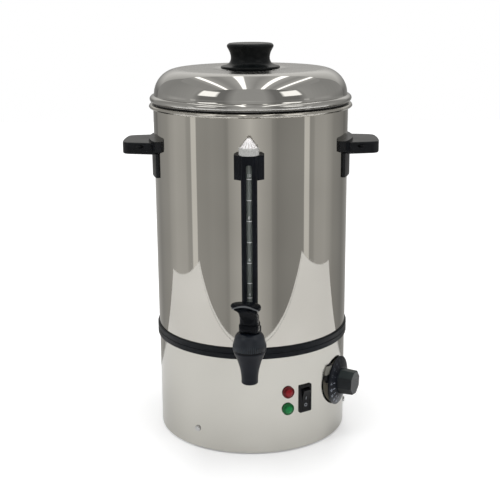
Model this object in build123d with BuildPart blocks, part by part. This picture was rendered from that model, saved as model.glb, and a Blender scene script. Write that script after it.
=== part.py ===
from build123d import *
from math import cos, pi, radians, sin, sqrt
import os

os.makedirs("parts", exist_ok=True)

# Hot water urn of ten litres, in millimetres. The origin is on the surface that the feet stand on,
# on the tank's axis. +Z is up and the tap looks along -Y.

# ---------------------------------------------------------------- driving dimensions

# Fits between pieces
close_fit = 0.1          # fixed pieces that slide together
running_fit = 0.08       # a shaft that turns or slides in its hole
seam_fit = 0.05          # welded and pressed seams
moving_gap = 0.3         # between pieces that move past each other

# Tank
tank_radius = 120.0
tank_wall = 1.0
tank_edge_height = 132.0         # the tank wall's lower edge
floor_rise = 4.0                 # from the wall's lower edge to the wet side of the floor
floor_thickness = 1.2
rim_top_height = 416.6
rim_bead_reach = 5.2             # how far the rolled rim stands out of the wall
rim_bead_depth = 5.4

# Seam ring between the tank and the skirt
seam_drop = 8.0                  # from the wall's lower edge to the ring's lower edge
seam_thickness_out = 1.8
seam_web_thickness = 2.0
seam_web_depth = 4.0
seam_lip_over_tank = 6.0
seam_groove_radius = 0.6

# Skirt, pan and feet
foot_proud = 2.0                 # the skirt's lower edge above the surface
skirt_set_in = 0.3               # the skirt's face behind the tank's
skirt_wall = 1.0
pan_inset = 4.0                  # the pan's plate above the skirt's lower edge
pan_wall = 1.2
pan_flange_height = 28.0
foot_count = 4
foot_inset = 26.6                # the feet's centres from the pan's edge
foot_radius = 11.0
foot_stem_radius = 3.5
vent_count = 12
vent_length = 26.0
vent_width = 3.2
skirt_screw_angles = (-33.4, 86.6, 206.6)
skirt_screw_height = 26.0
skirt_screw_radius = 1.9

# Handles
handle_angles = (-90.0, 90.0)
handle_ledge_drop = 44.8         # from the rim's top to the ledge's top
handle_ledge_thickness = 14.4
handle_reach = 38.5              # from the tank's wall to the ledge's outer edge
handle_root_half_width = 41.0
handle_end_half_width = 32.0
handle_end_bulge = 3.0
handle_corner_radius = 11.0
handle_edge_radius = 1.8
wing_drop = 41.1                 # from the rim's top to the wings' top
wing_height = 13.0
wing_thickness = 6.5
wing_half_chord = 55.0
leg_drop = 86.7                  # from the rim's top to the leg's lower end
leg_thickness = 3.0
leg_half_chord = 45.0
handle_screw_drop = 49.7
handle_screw_spread = 15.0       # degrees on each side of the handle's middle
handle_screw_radius = 2.0
handle_screw_length = 12.0

# Level gauge
gauge_offset = 12.0              # the glass tube's axis in front of the tank's wall
gauge_tube_radius = 5.0
gauge_tube_wall = 0.9
gauge_tube_rise = 12.0           # from the shank's axis to the glass tube's lower end
gauge_drop = 44.9                # from the rim's top to the top of the rail and its bracket
rail_half_width = 9.2
rail_front_wall = 3.4
rail_clearance = 0.4             # between the glass and the rail
rail_corner_radius = 4.0
rail_back_gap = 1.0
window_half_width = 3.5
window_drop = 10.2               # from the rail's top to the window's top
bracket_half_width = 17.2
bracket_height = 27.8
bracket_side_depth = 11.0
bracket_front_depth = 17.5
bracket_corner_radius = 2.5
gauge_base_half_width = 13.0
gauge_base_below = 9.8           # the block's reach under and over the shank's axis
gauge_base_above = 18.0
gauge_base_depth = 21.5
gauge_seal_radius = 7.4
gauge_seal_height = 6.0
gauge_screw_drop = 13.0          # from the rail's top
gauge_screw_radius = 2.0
cap_collar_radius = 11.6
cap_collar_height = 8.6
cap_cone_radius = 9.6
cap_cone_height = 10.4
cap_flute_count = 14
cap_flute_depth = 0.13           # as a share of the cone's radius
cap_plug_length = 8.0

# Tap
shank_rise = 15.0                # from the tank's floor to the shank's axis
shank_radius = 8.0
shank_inner_reach = 13.0         # how far the shank reaches into the tank
shank_washer_radius = 12.6
shank_washer_thickness = 1.5
shank_nut_across_flats = 22.0
shank_nut_thickness = 6.0
tap_offset = 52.0                # the spout's axis in front of the tank's wall
tap_neck_drop = 3.0              # the neck's axis below the shank's
tap_neck_radius = 7.2
tap_water_drop = 1.0
tap_water_radius = 4.0
spout_tip_drop = 38.4            # these four from the body flange's lower face
spout_tip_radius = 9.6
spout_mid_drop = 20.4
spout_mid_radius = 11.2
spout_shoulder_drop = 8.3
spout_shoulder_radius = 14.9
spout_bore_radius = 6.4
seat_drop = 10.6
seat_ring_height = 1.2
seat_ring_wall = 1.6
chamber_radius = 12.5
body_flange_radius = 18.6
body_flange_rise = 2.6           # from the shank's axis to the flange's lower face
body_flange_thickness = 2.2
collar_radius = 15.0
collar_height = 6.4
bonnet_gap = 0.8                 # groove that shows between the body and the bonnet
bonnet_rim_radius = 19.3
bonnet_rim_height = 3.6
bonnet_shoulder_rise = 8.0       # from the bonnet's lower edge
bonnet_shoulder_radius = 18.4
bonnet_height = 19.5
bonnet_top_radius = 12.6
bonnet_crown = 5.4
bonnet_flute_count = 54
bonnet_flute_radius = 0.5
stem_radius = 3.0
stem_foot_radius = 5.0
stem_foot_height = 1.4
cup_radius = 9.2
cup_height = 4.6
cup_floor = 2.4
spring_radius = 6.6
spring_wire_radius = 0.65
spring_turns = 5
lever_swivel = 12.0              # degrees that the lever is turned to the left
lever_pin_rise = 4.4             # from the bonnet's top
lever_pin_radius = 1.5
lever_gap = 0.4                  # between the bonnet's top and the lever's foot at rest
lever_foot_height = 9.9
lever_foot_width = 22.8
lever_foot_depth = 16.0
lever_foot_edge = 2.5
lever_neck_width = 21.6
lever_neck_depth = 13.4
lever_height = 39.6
lever_head_width = 34.4
lever_head_depth = 20.0
lever_head_lean = 17.0           # the head's middle in front of the pin
lever_head_height = 8.8
lever_head_flare = 5.6           # height over which the head widens
lever_head_edge = 1.2
lever_slot_half_length = 6.6
lever_scoop_radius = 19.6
lever_scoop_reach = 28.0         # the scoop's middle in front of the pin
lever_scoop_drop = 20.8          # and below the lever's top

# Lid
lid_lift_gap = 0.3               # between the rolled rim and the lid's bead
lid_wall = 1.0
lid_side_set_in = 1.3            # the lid's side behind the tank's face
lid_side_straight = 0.4          # upright part between the bead and the rounded shoulder
lid_rise = 41.8                  # from the rim's top to the lid's top
lid_dish_depth = 0.8
lid_dish_radius = 44.0
lid_bead_reach = 5.4
lid_bead_depth = 9.8
lid_bead_step = 2.3              # the bead's edge above the ledge that rests on the rim
lid_ledge_reach = 1.0            # how far that ledge stands out past the tank's face
lid_collar_gap = 0.6             # between the lid's inner collar and the tank
lid_collar_drop = 12.2           # the collar's reach below the rim's top
knob_flange_radius = 36.4
knob_flange_height = 2.6
knob_waist_radius = 24.2
knob_waist_height = 13.4
knob_lip_radius = 28.5
knob_lip_height = 25.2
knob_height = 29.0
knob_edge_radius = 3.4
knob_washer_radius = 26.4
knob_washer_thickness = 2.0
lid_screw_radius = 3.0
lid_screw_head_radius = 6.0
lid_screw_head_height = 3.2
lid_screw_grip = 16.0

# Controls on the skirt: angles are degrees from the tap, to the right
red_lamp_angle = 22.2
green_lamp_angle = 22.0
red_lamp_height = 78.1
green_lamp_height = 56.4
lamp_flange_radius = 7.6
lamp_flange_thickness = 1.8
lamp_dome_height = 3.4
lamp_body_radius = 5.0
lamp_body_length = 24.0
lamp_clip_radius = 7.0
lamp_clip_thickness = 1.2
switch_angle = 33.4
switch_height = 66.3
bezel_width = 17.6
bezel_length = 35.6
bezel_thickness = 2.0
bezel_corner_radius = 1.6
switch_body_width = 13.0
switch_body_length = 30.4
switch_body_depth = 22.0
rocker_width = 10.6
rocker_length = 26.0
rocker_side_gap = 0.4
rocker_end_gap = 1.1
rocker_pivot_depth = 2.0         # the rocker's pivot behind the skirt's face
rocker_pin_radius = 1.3
rocker_end_thickness = 4.0
rocker_hub = 2.8                 # half the width of the rocker's back, behind the pivot
rocker_well = 9.0                # depth of the housing's well behind the pivot
rocker_tilt = 9.0                # each way from level
dial_angle = 64.0
dial_height = 71.0
dial_gap = 1.2                   # between the skirt and the dial's back
dial_radius = 30.8
dial_thickness = 1.5             # at the dial's rim
dial_rise = 4.2                  # from the rim to the knob
dial_edge = 0.6
dial_recess_radius = 9.0         # room for the nut behind the dial
dial_boss_radius = 17.8          # the flat middle that carries the knob
dial_knob_radius = 16.4
dial_knob_taper = 2.4
dial_knob_length = 18.4
dial_knob_sides = 8
dial_knob_turn = 15.5
index_angle = 52.6               # the moulded index block beside the dial
index_height = 86.7
index_thickness = 2.2
index_half_width = 6.8
index_half_height = 12.2
thermostat_radius = 19.0
thermostat_depth = 18.0
thermostat_bush_radius = 4.6
thermostat_nut_across_flats = 13.0
thermostat_nut_thickness = 2.0
shaft_radius = 3.0
shaft_grip = 12.0

# Inside the base
heater_plate_inset = 41.0        # from the tank's inside
heater_plate_thickness = 3.0
element_ring_inset = 18.0        # from the heater plate's edge
element_tube_radius = 3.3
element_opening = 40.0           # degrees that the element's ring leaves open
element_leg = 18.0
element_leg_pin_radius = 1.4
element_leg_pin = 9.0
boil_dry_radius = 8.5
boil_dry_height = 6.0
bulb_radius = 3.0
bulb_length = 56.0
capillary_radius = 0.9
capillary_bend = 10.0
limiter_place = (-22.0, -5.0)
limiter_radius = 15.0
limiter_body_height = 22.0
limiter_bush_radius = 5.5
limiter_bush_proud = 2.0
reset_button_radius = 3.0
reset_button_length = 12.0
reset_button_proud = 0.8
reset_travel = 2.0
terminal_block_place = (12.0, 30.0)
terminal_block_size = (42.0, 20.0, 15.0)
terminal_ways = 3

# Appliance inlet in the back of the skirt
inlet_angle = 180.0
inlet_height = 44.0
inlet_flange_width = 50.0
inlet_flange_height = 24.0
inlet_flange_thickness = 3.0
inlet_body_width = 27.0
inlet_body_height = 19.6
inlet_body_depth = 20.0
inlet_socket_width = 24.2
inlet_socket_height = 16.4
inlet_socket_depth = 18.0
inlet_pin_width = 2.0
inlet_pin_height = 4.0
inlet_pin_length = 11.0
inlet_pin_tail = 8.0
inlet_pin_spacing = 7.0
inlet_earth_rise = 4.0
inlet_screw_spacing = 40.0
inlet_screw_radius = 1.5

# ---------------------------------------------------------------- worked-out places

tank_inside = tank_radius - tank_wall
floor_height = tank_edge_height + floor_rise
floor_low = floor_height - floor_thickness
seam_low = tank_edge_height - seam_drop
skirt_low = foot_proud
skirt_top = tank_edge_height - seam_web_thickness
skirt_radius = tank_radius - skirt_set_in
skirt_inside = skirt_radius - skirt_wall
pan_low = skirt_low + pan_inset
pan_top = pan_low + pan_wall
pan_radius = skirt_inside - close_fit
foot_circle = pan_radius - foot_inset
handle_fit_radius = tank_radius + seam_fit
handle_ledge_low = rim_top_height - handle_ledge_drop - handle_ledge_thickness
wing_low = rim_top_height - wing_drop - wing_height
leg_low = rim_top_height - leg_drop
handle_screw_height = rim_top_height - handle_screw_drop
shank_height = floor_height + shank_rise
gauge_y = -(tank_radius + gauge_offset)
gauge_top = rim_top_height - gauge_drop
gauge_tube_low = shank_height + gauge_tube_rise
gauge_base_low = shank_height - gauge_base_below
gauge_base_top = shank_height + gauge_base_above
gauge_screw_height = gauge_top - gauge_screw_drop
bracket_low = gauge_top - bracket_height
window_top = gauge_top - window_drop
tap_y = -(tank_radius + tap_offset)
tap_neck_height = shank_height - tap_neck_drop
tap_water_height = shank_height - tap_water_drop
body_flange_low = shank_height + body_flange_rise
body_flange_top = body_flange_low + body_flange_thickness
spout_tip_height = body_flange_low - spout_tip_drop
spout_mid_height = body_flange_low - spout_mid_drop
spout_shoulder_height = body_flange_low - spout_shoulder_drop
seat_height = body_flange_low - seat_drop
seat_top = seat_height + seat_ring_height
bonnet_low = body_flange_top + bonnet_gap
bonnet_shoulder = bonnet_low + bonnet_shoulder_rise
bonnet_top = bonnet_low + bonnet_height
bonnet_spring_seat = bonnet_top - bonnet_crown
lever_low = bonnet_top + lever_gap
lever_top = lever_low + lever_height
lever_pin_height = bonnet_top + lever_pin_rise
lid_side_radius = tank_radius - lid_side_set_in
lid_top = rim_top_height + lid_rise
lid_centre = lid_top - lid_dish_depth
lid_ledge_height = rim_top_height + lid_lift_gap
lid_bead_low = lid_ledge_height + lid_bead_step
lid_collar_low = rim_top_height - lid_collar_drop
knob_low = lid_centre + knob_washer_thickness
dial_back = skirt_radius + dial_gap
dial_front = dial_back + dial_thickness + dial_rise
heater_low = floor_low - heater_plate_thickness
heater_plate_radius = tank_inside - heater_plate_inset
element_ring_radius = heater_plate_radius - element_ring_inset


def wall_plane(angle, radius, height):
    """Upright plane facing away from the tank's axis, with x to the right and y up."""
    turn = radians(angle)
    return Plane(
        origin=(radius * sin(turn), -radius * cos(turn), height),
        x_dir=(cos(turn), sin(turn), 0),
        z_dir=(sin(turn), -cos(turn), 0),
    )


def save(builder, name):
    """Label a finished piece and write it."""
    builder.part.label = name
    export_step(builder.part, f"parts/{name}.step")


# ---------------------------------------------------------------- tank

with BuildPart() as tank:
    bead_middle = rim_top_height - (rim_bead_reach + tank_wall) / 2
    bead_low = rim_top_height - rim_bead_depth
    with BuildSketch(Plane.XZ) as tank_section:
        with BuildLine():
            wall_line = Polyline(
                (tank_inside, bead_middle),
                (tank_inside, tank_edge_height),
                (tank_radius, tank_edge_height),
                (tank_radius, bead_low),
                (tank_radius + rim_bead_reach / 4, bead_low),
            )
            rim_under = TangentArc(
                wall_line @ 1, (tank_radius + rim_bead_reach, bead_middle), tangent=(1, 0)
            )
            ThreePointArc(
                rim_under @ 1,
                (tank_radius + (rim_bead_reach - tank_wall) / 2, rim_top_height),
                wall_line @ 0,
            )
        make_face()
    revolve(axis=Axis.Z)
    with Locations(wall_plane(0, tank_radius + tank_wall, shank_height)):
        Hole(shank_radius + close_fit, depth=4 * tank_wall)
    with Locations(wall_plane(0, tank_radius + tank_wall, gauge_screw_height)):
        Hole(gauge_screw_radius + close_fit, depth=4 * tank_wall)
    for middle in handle_angles:
        for side in (-1, 1):
            angle = middle + side * handle_screw_spread
            with Locations(wall_plane(angle, tank_radius + tank_wall, handle_screw_height)):
                Hole(handle_screw_radius + close_fit, depth=4 * tank_wall)
save(tank, "tank")

# The floor is a shallow pan, turned down at its edge and welded into the wall.
with BuildPart() as tank_floor:
    with BuildSketch(Plane.XZ) as floor_section:
        with BuildLine():
            floor_edge = tank_inside - seam_fit
            Polyline(
                (0, floor_height),
                (floor_edge, floor_height),
                (floor_edge, tank_edge_height),
                (floor_edge - floor_thickness, tank_edge_height),
                (floor_edge - floor_thickness, floor_low),
                (0, floor_low),
                close=True,
            )
        make_face()
        fillet(floor_section.vertices().sort_by(Axis.X)[-1], floor_thickness * 0.8)
    revolve(axis=Axis.Z)
save(tank_floor, "tank_floor")

# ---------------------------------------------------------------- seam ring

with BuildPart() as seam_ring:
    seam_face = tank_radius + close_fit
    seam_top = tank_edge_height + seam_lip_over_tank
    with BuildSketch(Plane.XZ) as seam_section:
        with Locations((seam_face, seam_low)):
            Rectangle(
                seam_thickness_out, seam_top - seam_low, align=(Align.MIN, Align.MIN)
            )
        fillet(seam_section.vertices().group_by(Axis.X)[-1], seam_thickness_out * 0.45)
        with Locations((seam_face + seam_thickness_out, (seam_low + seam_top) / 2)):
            Circle(seam_groove_radius, mode=Mode.SUBTRACT)
        with Locations((seam_face, skirt_top)):
            Rectangle(
                seam_web_depth + close_fit, seam_web_thickness, align=(Align.MAX, Align.MIN)
            )
    revolve(axis=Axis.Z)
save(seam_ring, "seam_ring")

# ---------------------------------------------------------------- skirt, pan and feet

with BuildPart() as base_skirt:
    with BuildSketch(Plane.XY.offset(skirt_low)):
        Circle(skirt_radius)
        Circle(skirt_inside, mode=Mode.SUBTRACT)
    extrude(amount=skirt_top - skirt_low)
    cut_start = skirt_radius + skirt_wall
    cut_depth = 6 * skirt_wall
    for angle in skirt_screw_angles:
        with Locations(wall_plane(angle, cut_start, skirt_screw_height)):
            Hole(skirt_screw_radius + close_fit, depth=cut_depth)
    for angle, height in (
        (red_lamp_angle, red_lamp_height),
        (green_lamp_angle, green_lamp_height),
    ):
        with Locations(wall_plane(angle, cut_start, height)):
            Hole(lamp_body_radius + close_fit, depth=cut_depth)
    with Locations(wall_plane(dial_angle, cut_start, dial_height)):
        Hole(thermostat_bush_radius + close_fit, depth=cut_depth)
    with BuildSketch(wall_plane(switch_angle, cut_start, switch_height)):
        Rectangle(switch_body_width + 2 * close_fit, switch_body_length + 2 * close_fit)
    extrude(amount=-cut_depth, mode=Mode.SUBTRACT)
    with BuildSketch(wall_plane(inlet_angle, cut_start, inlet_height)):
        Rectangle(inlet_body_width + 2 * close_fit, inlet_body_height + 2 * close_fit)
    extrude(amount=-cut_depth, mode=Mode.SUBTRACT)
    with Locations(wall_plane(inlet_angle, cut_start, inlet_height)):
        with GridLocations(inlet_screw_spacing, 1, 2, 1):
            Hole(inlet_screw_radius + close_fit, depth=cut_depth)
save(base_skirt, "base_skirt")

with BuildPart() as base_pan:
    with BuildSketch(Plane.XZ) as pan_section:
        with BuildLine():
            Polyline(
                (0, pan_low),
                (pan_radius, pan_low),
                (pan_radius, pan_low + pan_flange_height),
                (pan_radius - pan_wall, pan_low + pan_flange_height),
                (pan_radius - pan_wall, pan_top),
                (0, pan_top),
                close=True,
            )
        make_face()
        fillet(pan_section.vertices().group_by(Axis.X)[-1].sort_by(Axis.Y)[0], pan_wall * 0.8)
    revolve(axis=Axis.Z)
    for angle in skirt_screw_angles:
        with Locations(wall_plane(angle, pan_radius + pan_wall, skirt_screw_height)):
            Hole(skirt_screw_radius + close_fit, depth=4 * pan_wall)
    with BuildSketch(Plane.XY.offset(pan_low - pan_wall)):
        with PolarLocations(foot_circle, foot_count, start_angle=45):
            Circle(foot_stem_radius + close_fit)
        with Locations(limiter_place):
            Circle(limiter_bush_radius + close_fit)
        with PolarLocations(0.55 * pan_radius, vent_count, start_angle=15):
            SlotOverall(vent_length, vent_width)
    extrude(amount=4 * pan_wall, mode=Mode.SUBTRACT)
save(base_pan, "base_pan")

with BuildPart() as feet:
    with BuildSketch(Plane.XZ) as foot_section:
        with BuildLine():
            stem_head = foot_stem_radius * 1.5
            stem_top = pan_top + 2 * pan_wall
            Polyline(
                (0, 0),
                (foot_radius * 0.85, 0),
                (foot_radius, pan_low),
                (foot_stem_radius, pan_low),
                (foot_stem_radius, pan_top + close_fit),
                (stem_head, pan_top + close_fit),
                (foot_stem_radius * 0.7, stem_top + pan_wall),
                (0, stem_top + pan_wall),
                close=True,
            )
        make_face()
    one_foot = revolve(axis=Axis.Z, mode=Mode.PRIVATE)
    with PolarLocations(foot_circle, foot_count, start_angle=45):
        add(one_foot)
save(feet, "feet")

with BuildPart() as skirt_screws:
    for angle in skirt_screw_angles:
        head_radius = 2 * skirt_screw_radius
        with BuildSketch(wall_plane(angle, skirt_radius + close_fit, skirt_screw_height)):
            Circle(head_radius)
        extrude(amount=head_radius * 0.55)
        fillet(skirt_screws.edges().filter_by(GeomType.CIRCLE).sort_by_distance(
            wall_plane(angle, skirt_radius + head_radius, skirt_screw_height).origin)[0],
            head_radius * 0.4)
        with BuildSketch(wall_plane(angle, skirt_radius + close_fit, skirt_screw_height)):
            Circle(skirt_screw_radius)
        extrude(amount=-(skirt_radius - pan_radius + 5 * pan_wall))
save(skirt_screws, "skirt_screws")

# ---------------------------------------------------------------- handles

with BuildPart() as handle_right:
    ledge_end = tank_radius + handle_reach
    ledge_root = sqrt(tank_radius**2 - handle_root_half_width**2) - 2 * handle_edge_radius
    with BuildSketch(Plane.XY.offset(handle_ledge_low)) as ledge_plan:
        with BuildLine():
            corner_x = ledge_end - handle_end_bulge
            Line((corner_x, handle_end_half_width), (ledge_root, handle_root_half_width))
            Line((ledge_root, handle_root_half_width), (ledge_root, -handle_root_half_width))
            Line((ledge_root, -handle_root_half_width), (corner_x, -handle_end_half_width))
            ThreePointArc(
                (corner_x, -handle_end_half_width),
                (ledge_end, 0),
                (corner_x, handle_end_half_width),
            )
        make_face()
        fillet(ledge_plan.vertices().group_by(Axis.X)[-1], handle_corner_radius)
    extrude(amount=handle_ledge_thickness)
    fillet(handle_right.faces().sort_by(Axis.Z)[-1].edges(), handle_edge_radius)
    fillet(handle_right.faces().sort_by(Axis.Z)[0].edges(), handle_edge_radius)
    # wings that hug the tank under its rim
    with BuildSketch(Plane.XY.offset(wing_low)) as wing_plan:
        Circle(tank_radius + wing_thickness)
        with Locations((tank_radius, 0)):
            Rectangle(tank_radius, 2 * wing_half_chord, mode=Mode.INTERSECT)
    extrude(amount=wing_height)
    # leg that lies on the tank below the ledge
    with BuildSketch(Plane.XY.offset(leg_low)) as leg_plan:
        Circle(tank_radius + leg_thickness)
        with Locations((tank_radius, 0)):
            Rectangle(tank_radius, 2 * leg_half_chord, mode=Mode.INTERSECT)
    extrude(amount=handle_ledge_low - leg_low + handle_edge_radius)
    with BuildSketch(Plane.XY.offset(leg_low - leg_thickness)):
        Circle(handle_fit_radius)
    extrude(amount=2 * (wing_low + wing_height - leg_low), mode=Mode.SUBTRACT)
    for side in (-1, 1):
        angle = handle_angles[1] + side * handle_screw_spread
        with Locations(wall_plane(angle, tank_radius + handle_screw_length, handle_screw_height)):
            Hole(handle_screw_radius + seam_fit, depth=2 * handle_screw_length)
save(handle_right, "handle_right")

with BuildPart() as handle_left:
    mirror(handle_right.part, about=Plane.YZ)
save(handle_left, "handle_left")

seal_thickness = 1.0
seal_radius = 5.2
with BuildPart() as handle_screws:
    for middle in handle_angles:
        for side in (-1, 1):
            angle = middle + side * handle_screw_spread
            head_face = tank_inside - seal_thickness
            with BuildSketch(wall_plane(angle, head_face, handle_screw_height)):
                Circle(handle_screw_radius)
            extrude(amount=tank_wall + seal_thickness + handle_screw_length - 1)
            with BuildSketch(wall_plane(angle, head_face, handle_screw_height)):
                Circle(2 * handle_screw_radius)
            extrude(amount=-1.3 * handle_screw_radius, taper=12)
save(handle_screws, "handle_screws")

with BuildPart() as handle_seals:
    for middle in handle_angles:
        for side in (-1, 1):
            angle = middle + side * handle_screw_spread
            with BuildSketch(wall_plane(angle, tank_inside - seal_thickness, handle_screw_height)):
                Circle(seal_radius)
                Circle(handle_screw_radius + seam_fit, mode=Mode.SUBTRACT)
            extrude(amount=seal_thickness)
    # the seals lie against the round wall
    with BuildSketch(Plane.XY.offset(handle_screw_height - 2 * seal_radius)):
        Circle(tank_inside)
    extrude(amount=4 * seal_radius, mode=Mode.INTERSECT)
save(handle_seals, "handle_seals")

# ---------------------------------------------------------------- level gauge

with BuildPart() as gauge_base:
    base_back = -(tank_radius + shank_washer_thickness)
    with BuildSketch(Plane.XY.offset(gauge_base_low)) as base_plan:
        with Locations((0, base_back)):
            Rectangle(
                2 * gauge_base_half_width, gauge_base_depth, align=(Align.CENTER, Align.MAX)
            )
        fillet(base_plan.vertices(), gauge_base_half_width * 0.4)
    extrude(amount=gauge_base_top - gauge_base_low)
    fillet(gauge_base.faces().sort_by(Axis.Z)[0].edges(), 2.0)
    fillet(gauge_base.faces().sort_by(Axis.Z)[-1].edges(), 1.2)
    with Locations((0, gauge_y, gauge_base_top)):
        CounterBoreHole(
            tap_water_radius * 0.7,
            gauge_seal_radius + seam_fit,
            gauge_base_top - gauge_tube_low,
            depth=gauge_base_top - shank_height,
        )
    with Locations(Plane(origin=(0, base_back + 1, shank_height), z_dir=(0, 1, 0))):
        Hole(shank_radius + close_fit, depth=2 * gauge_base_depth)
save(gauge_base, "gauge_base")

with BuildPart() as gauge_seal:
    with BuildSketch(Plane.XY.offset(gauge_tube_low)):
        with Locations((0, gauge_y)):
            Circle(gauge_seal_radius)
            Circle(gauge_tube_radius + seam_fit, mode=Mode.SUBTRACT)
    extrude(amount=gauge_seal_height - close_fit)
save(gauge_seal, "gauge_seal")

gauge_bore_radius = gauge_tube_radius - gauge_tube_wall
gauge_tube_top = gauge_top - close_fit
with BuildPart() as gauge_tube:
    with BuildSketch(Plane.XY.offset(gauge_tube_low)):
        with Locations((0, gauge_y)):
            Circle(gauge_tube_radius)
            Circle(gauge_bore_radius, mode=Mode.SUBTRACT)
    extrude(amount=gauge_tube_top - gauge_tube_low)
save(gauge_tube, "gauge_tube")

# A channel with its open side to the tank. Its front has the window over the glass.
rail_inside = gauge_tube_radius + rail_clearance
rail_front = gauge_y - rail_inside - rail_front_wall
rail_back = -(tank_radius + rail_back_gap)
with BuildPart() as gauge_rail:
    with BuildSketch(Plane.XY.offset(gauge_base_top)) as rail_plan:
        with Locations((0, rail_back)):
            Rectangle(
                2 * rail_half_width, rail_back - rail_front, align=(Align.CENTER, Align.MAX)
            )
        fillet(rail_plan.vertices().group_by(Axis.Y)[0], rail_corner_radius)
        with Locations((0, rail_back)):
            Rectangle(
                2 * rail_inside,
                rail_back - gauge_y,
                align=(Align.CENTER, Align.MAX),
                mode=Mode.SUBTRACT,
            )
        with Locations((0, gauge_y)):
            Circle(rail_inside, mode=Mode.SUBTRACT)
    extrude(amount=gauge_top - gauge_base_top)
    window_low = gauge_base_top + rail_half_width
    with BuildSketch(Plane(origin=(0, gauge_y, 0), x_dir=(1, 0, 0), z_dir=(0, -1, 0))) as window:
        with Locations((0, (window_low + window_top) / 2)):
            Rectangle(2 * window_half_width, window_top - window_low)
        fillet(window.vertices(), window_half_width * 0.6)
    extrude(amount=2 * rail_inside, mode=Mode.SUBTRACT)
save(gauge_rail, "gauge_rail")

with BuildPart() as gauge_bracket:
    bracket_side = -(tank_radius + bracket_side_depth)
    bracket_front = -(tank_radius + bracket_front_depth)
    with BuildSketch(Plane.XY.offset(bracket_low)) as bracket_plan:
        with BuildLine():
            Polyline(
                (-bracket_half_width, -tank_radius + tank_wall),
                (-bracket_half_width, bracket_side),
                (-rail_half_width, bracket_front),
                (rail_half_width, bracket_front),
                (bracket_half_width, bracket_side),
                (bracket_half_width, -tank_radius + tank_wall),
                close=True,
            )
        make_face()
        side_corners = [
            v for v in bracket_plan.vertices() if abs(v.Y - bracket_side) < bracket_corner_radius
        ]
        fillet(side_corners, bracket_corner_radius)
    extrude(amount=gauge_top - bracket_low)
    # the rail runs through the bracket
    rail_slot_half = rail_half_width + close_fit
    with BuildSketch(Plane.XY.offset(bracket_low)):
        with Locations((0, rail_back + close_fit)):
            Rectangle(
                2 * rail_slot_half,
                2 * bracket_front_depth,
                align=(Align.CENTER, Align.MAX),
            )
    extrude(amount=gauge_top - bracket_low, mode=Mode.SUBTRACT)
    # back web between rail and tank, drilled for the fixing screw, and lips that grip the rail
    with BuildSketch(Plane.XY.offset(bracket_low)):
        with Locations((0, rail_back + close_fit)):
            Rectangle(2 * rail_slot_half, rail_back_gap, align=(Align.CENTER, Align.MIN))
    extrude(amount=gauge_top - bracket_low)
    with BuildSketch(Plane.XY.offset(bracket_low)):
        Circle(handle_fit_radius)
    extrude(amount=gauge_top - bracket_low, mode=Mode.SUBTRACT)
    with Locations(wall_plane(0, tank_radius + 2 * rail_back_gap, gauge_screw_height)):
        Hole(gauge_screw_radius + seam_fit, depth=4 * rail_back_gap)
save(gauge_bracket, "gauge_bracket")

# The bracket's screw comes from inside the tank into a nut behind the glass.
gauge_nut_thickness = 3.0
with BuildPart() as gauge_screw:
    with BuildSketch(wall_plane(0, tank_inside - seal_thickness, gauge_screw_height)):
        Circle(gauge_screw_radius)
    extrude(amount=tank_wall + seal_thickness + rail_back_gap + gauge_nut_thickness + 1)
    with BuildSketch(wall_plane(0, tank_inside - seal_thickness, gauge_screw_height)):
        Circle(2 * gauge_screw_radius)
    extrude(amount=-1.3 * gauge_screw_radius, taper=12)
save(gauge_screw, "gauge_screw")

with BuildPart() as gauge_nut:
    with BuildSketch(wall_plane(0, tank_radius + rail_back_gap, gauge_screw_height)):
        RegularPolygon(1.75 * gauge_screw_radius, 6, major_radius=False)
        Circle(gauge_screw_radius + seam_fit, mode=Mode.SUBTRACT)
    extrude(amount=gauge_nut_thickness)
save(gauge_nut, "gauge_nut")

with BuildPart() as gauge_screw_seal:
    with BuildSketch(wall_plane(0, tank_inside - seal_thickness, gauge_screw_height)):
        Circle(seal_radius)
        Circle(gauge_screw_radius + seam_fit, mode=Mode.SUBTRACT)
    extrude(amount=seal_thickness)
    with BuildSketch(Plane.XY.offset(gauge_screw_height - 2 * seal_radius)):
        Circle(tank_inside)
    extrude(amount=4 * seal_radius, mode=Mode.INTERSECT)
save(gauge_screw_seal, "gauge_screw_seal")

# The cap lifts off for cleaning the glass. Its plug sits in the tube and its axis is vented.
cap_low = gauge_top + moving_gap
cap_vent_radius = 0.6
cap_plug_seat = 0.45 * cap_collar_radius
gauge_axis_plane = Plane(origin=(0, gauge_y, 0), x_dir=(1, 0, 0), z_dir=(0, -1, 0))
gauge_axis = Axis((0, gauge_y, 0), (0, 0, 1))
with BuildPart() as gauge_cap_collar:
    with BuildSketch(gauge_axis_plane) as collar_section:
        with Locations((cap_plug_seat, cap_low)):
            Rectangle(
                cap_collar_radius - cap_plug_seat, cap_collar_height, align=(Align.MIN, Align.MIN)
            )
        with Locations((0, cap_low + 0.6 * cap_collar_height)):
            Rectangle(
                2 * (cap_cone_radius + seam_fit), cap_collar_height,
                align=(Align.CENTER, Align.MIN), mode=Mode.SUBTRACT,
            )
        fillet(collar_section.vertices().group_by(Axis.X)[-1], 0.7)
    revolve(axis=gauge_axis)
save(gauge_cap_collar, "gauge_cap_collar")

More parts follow.
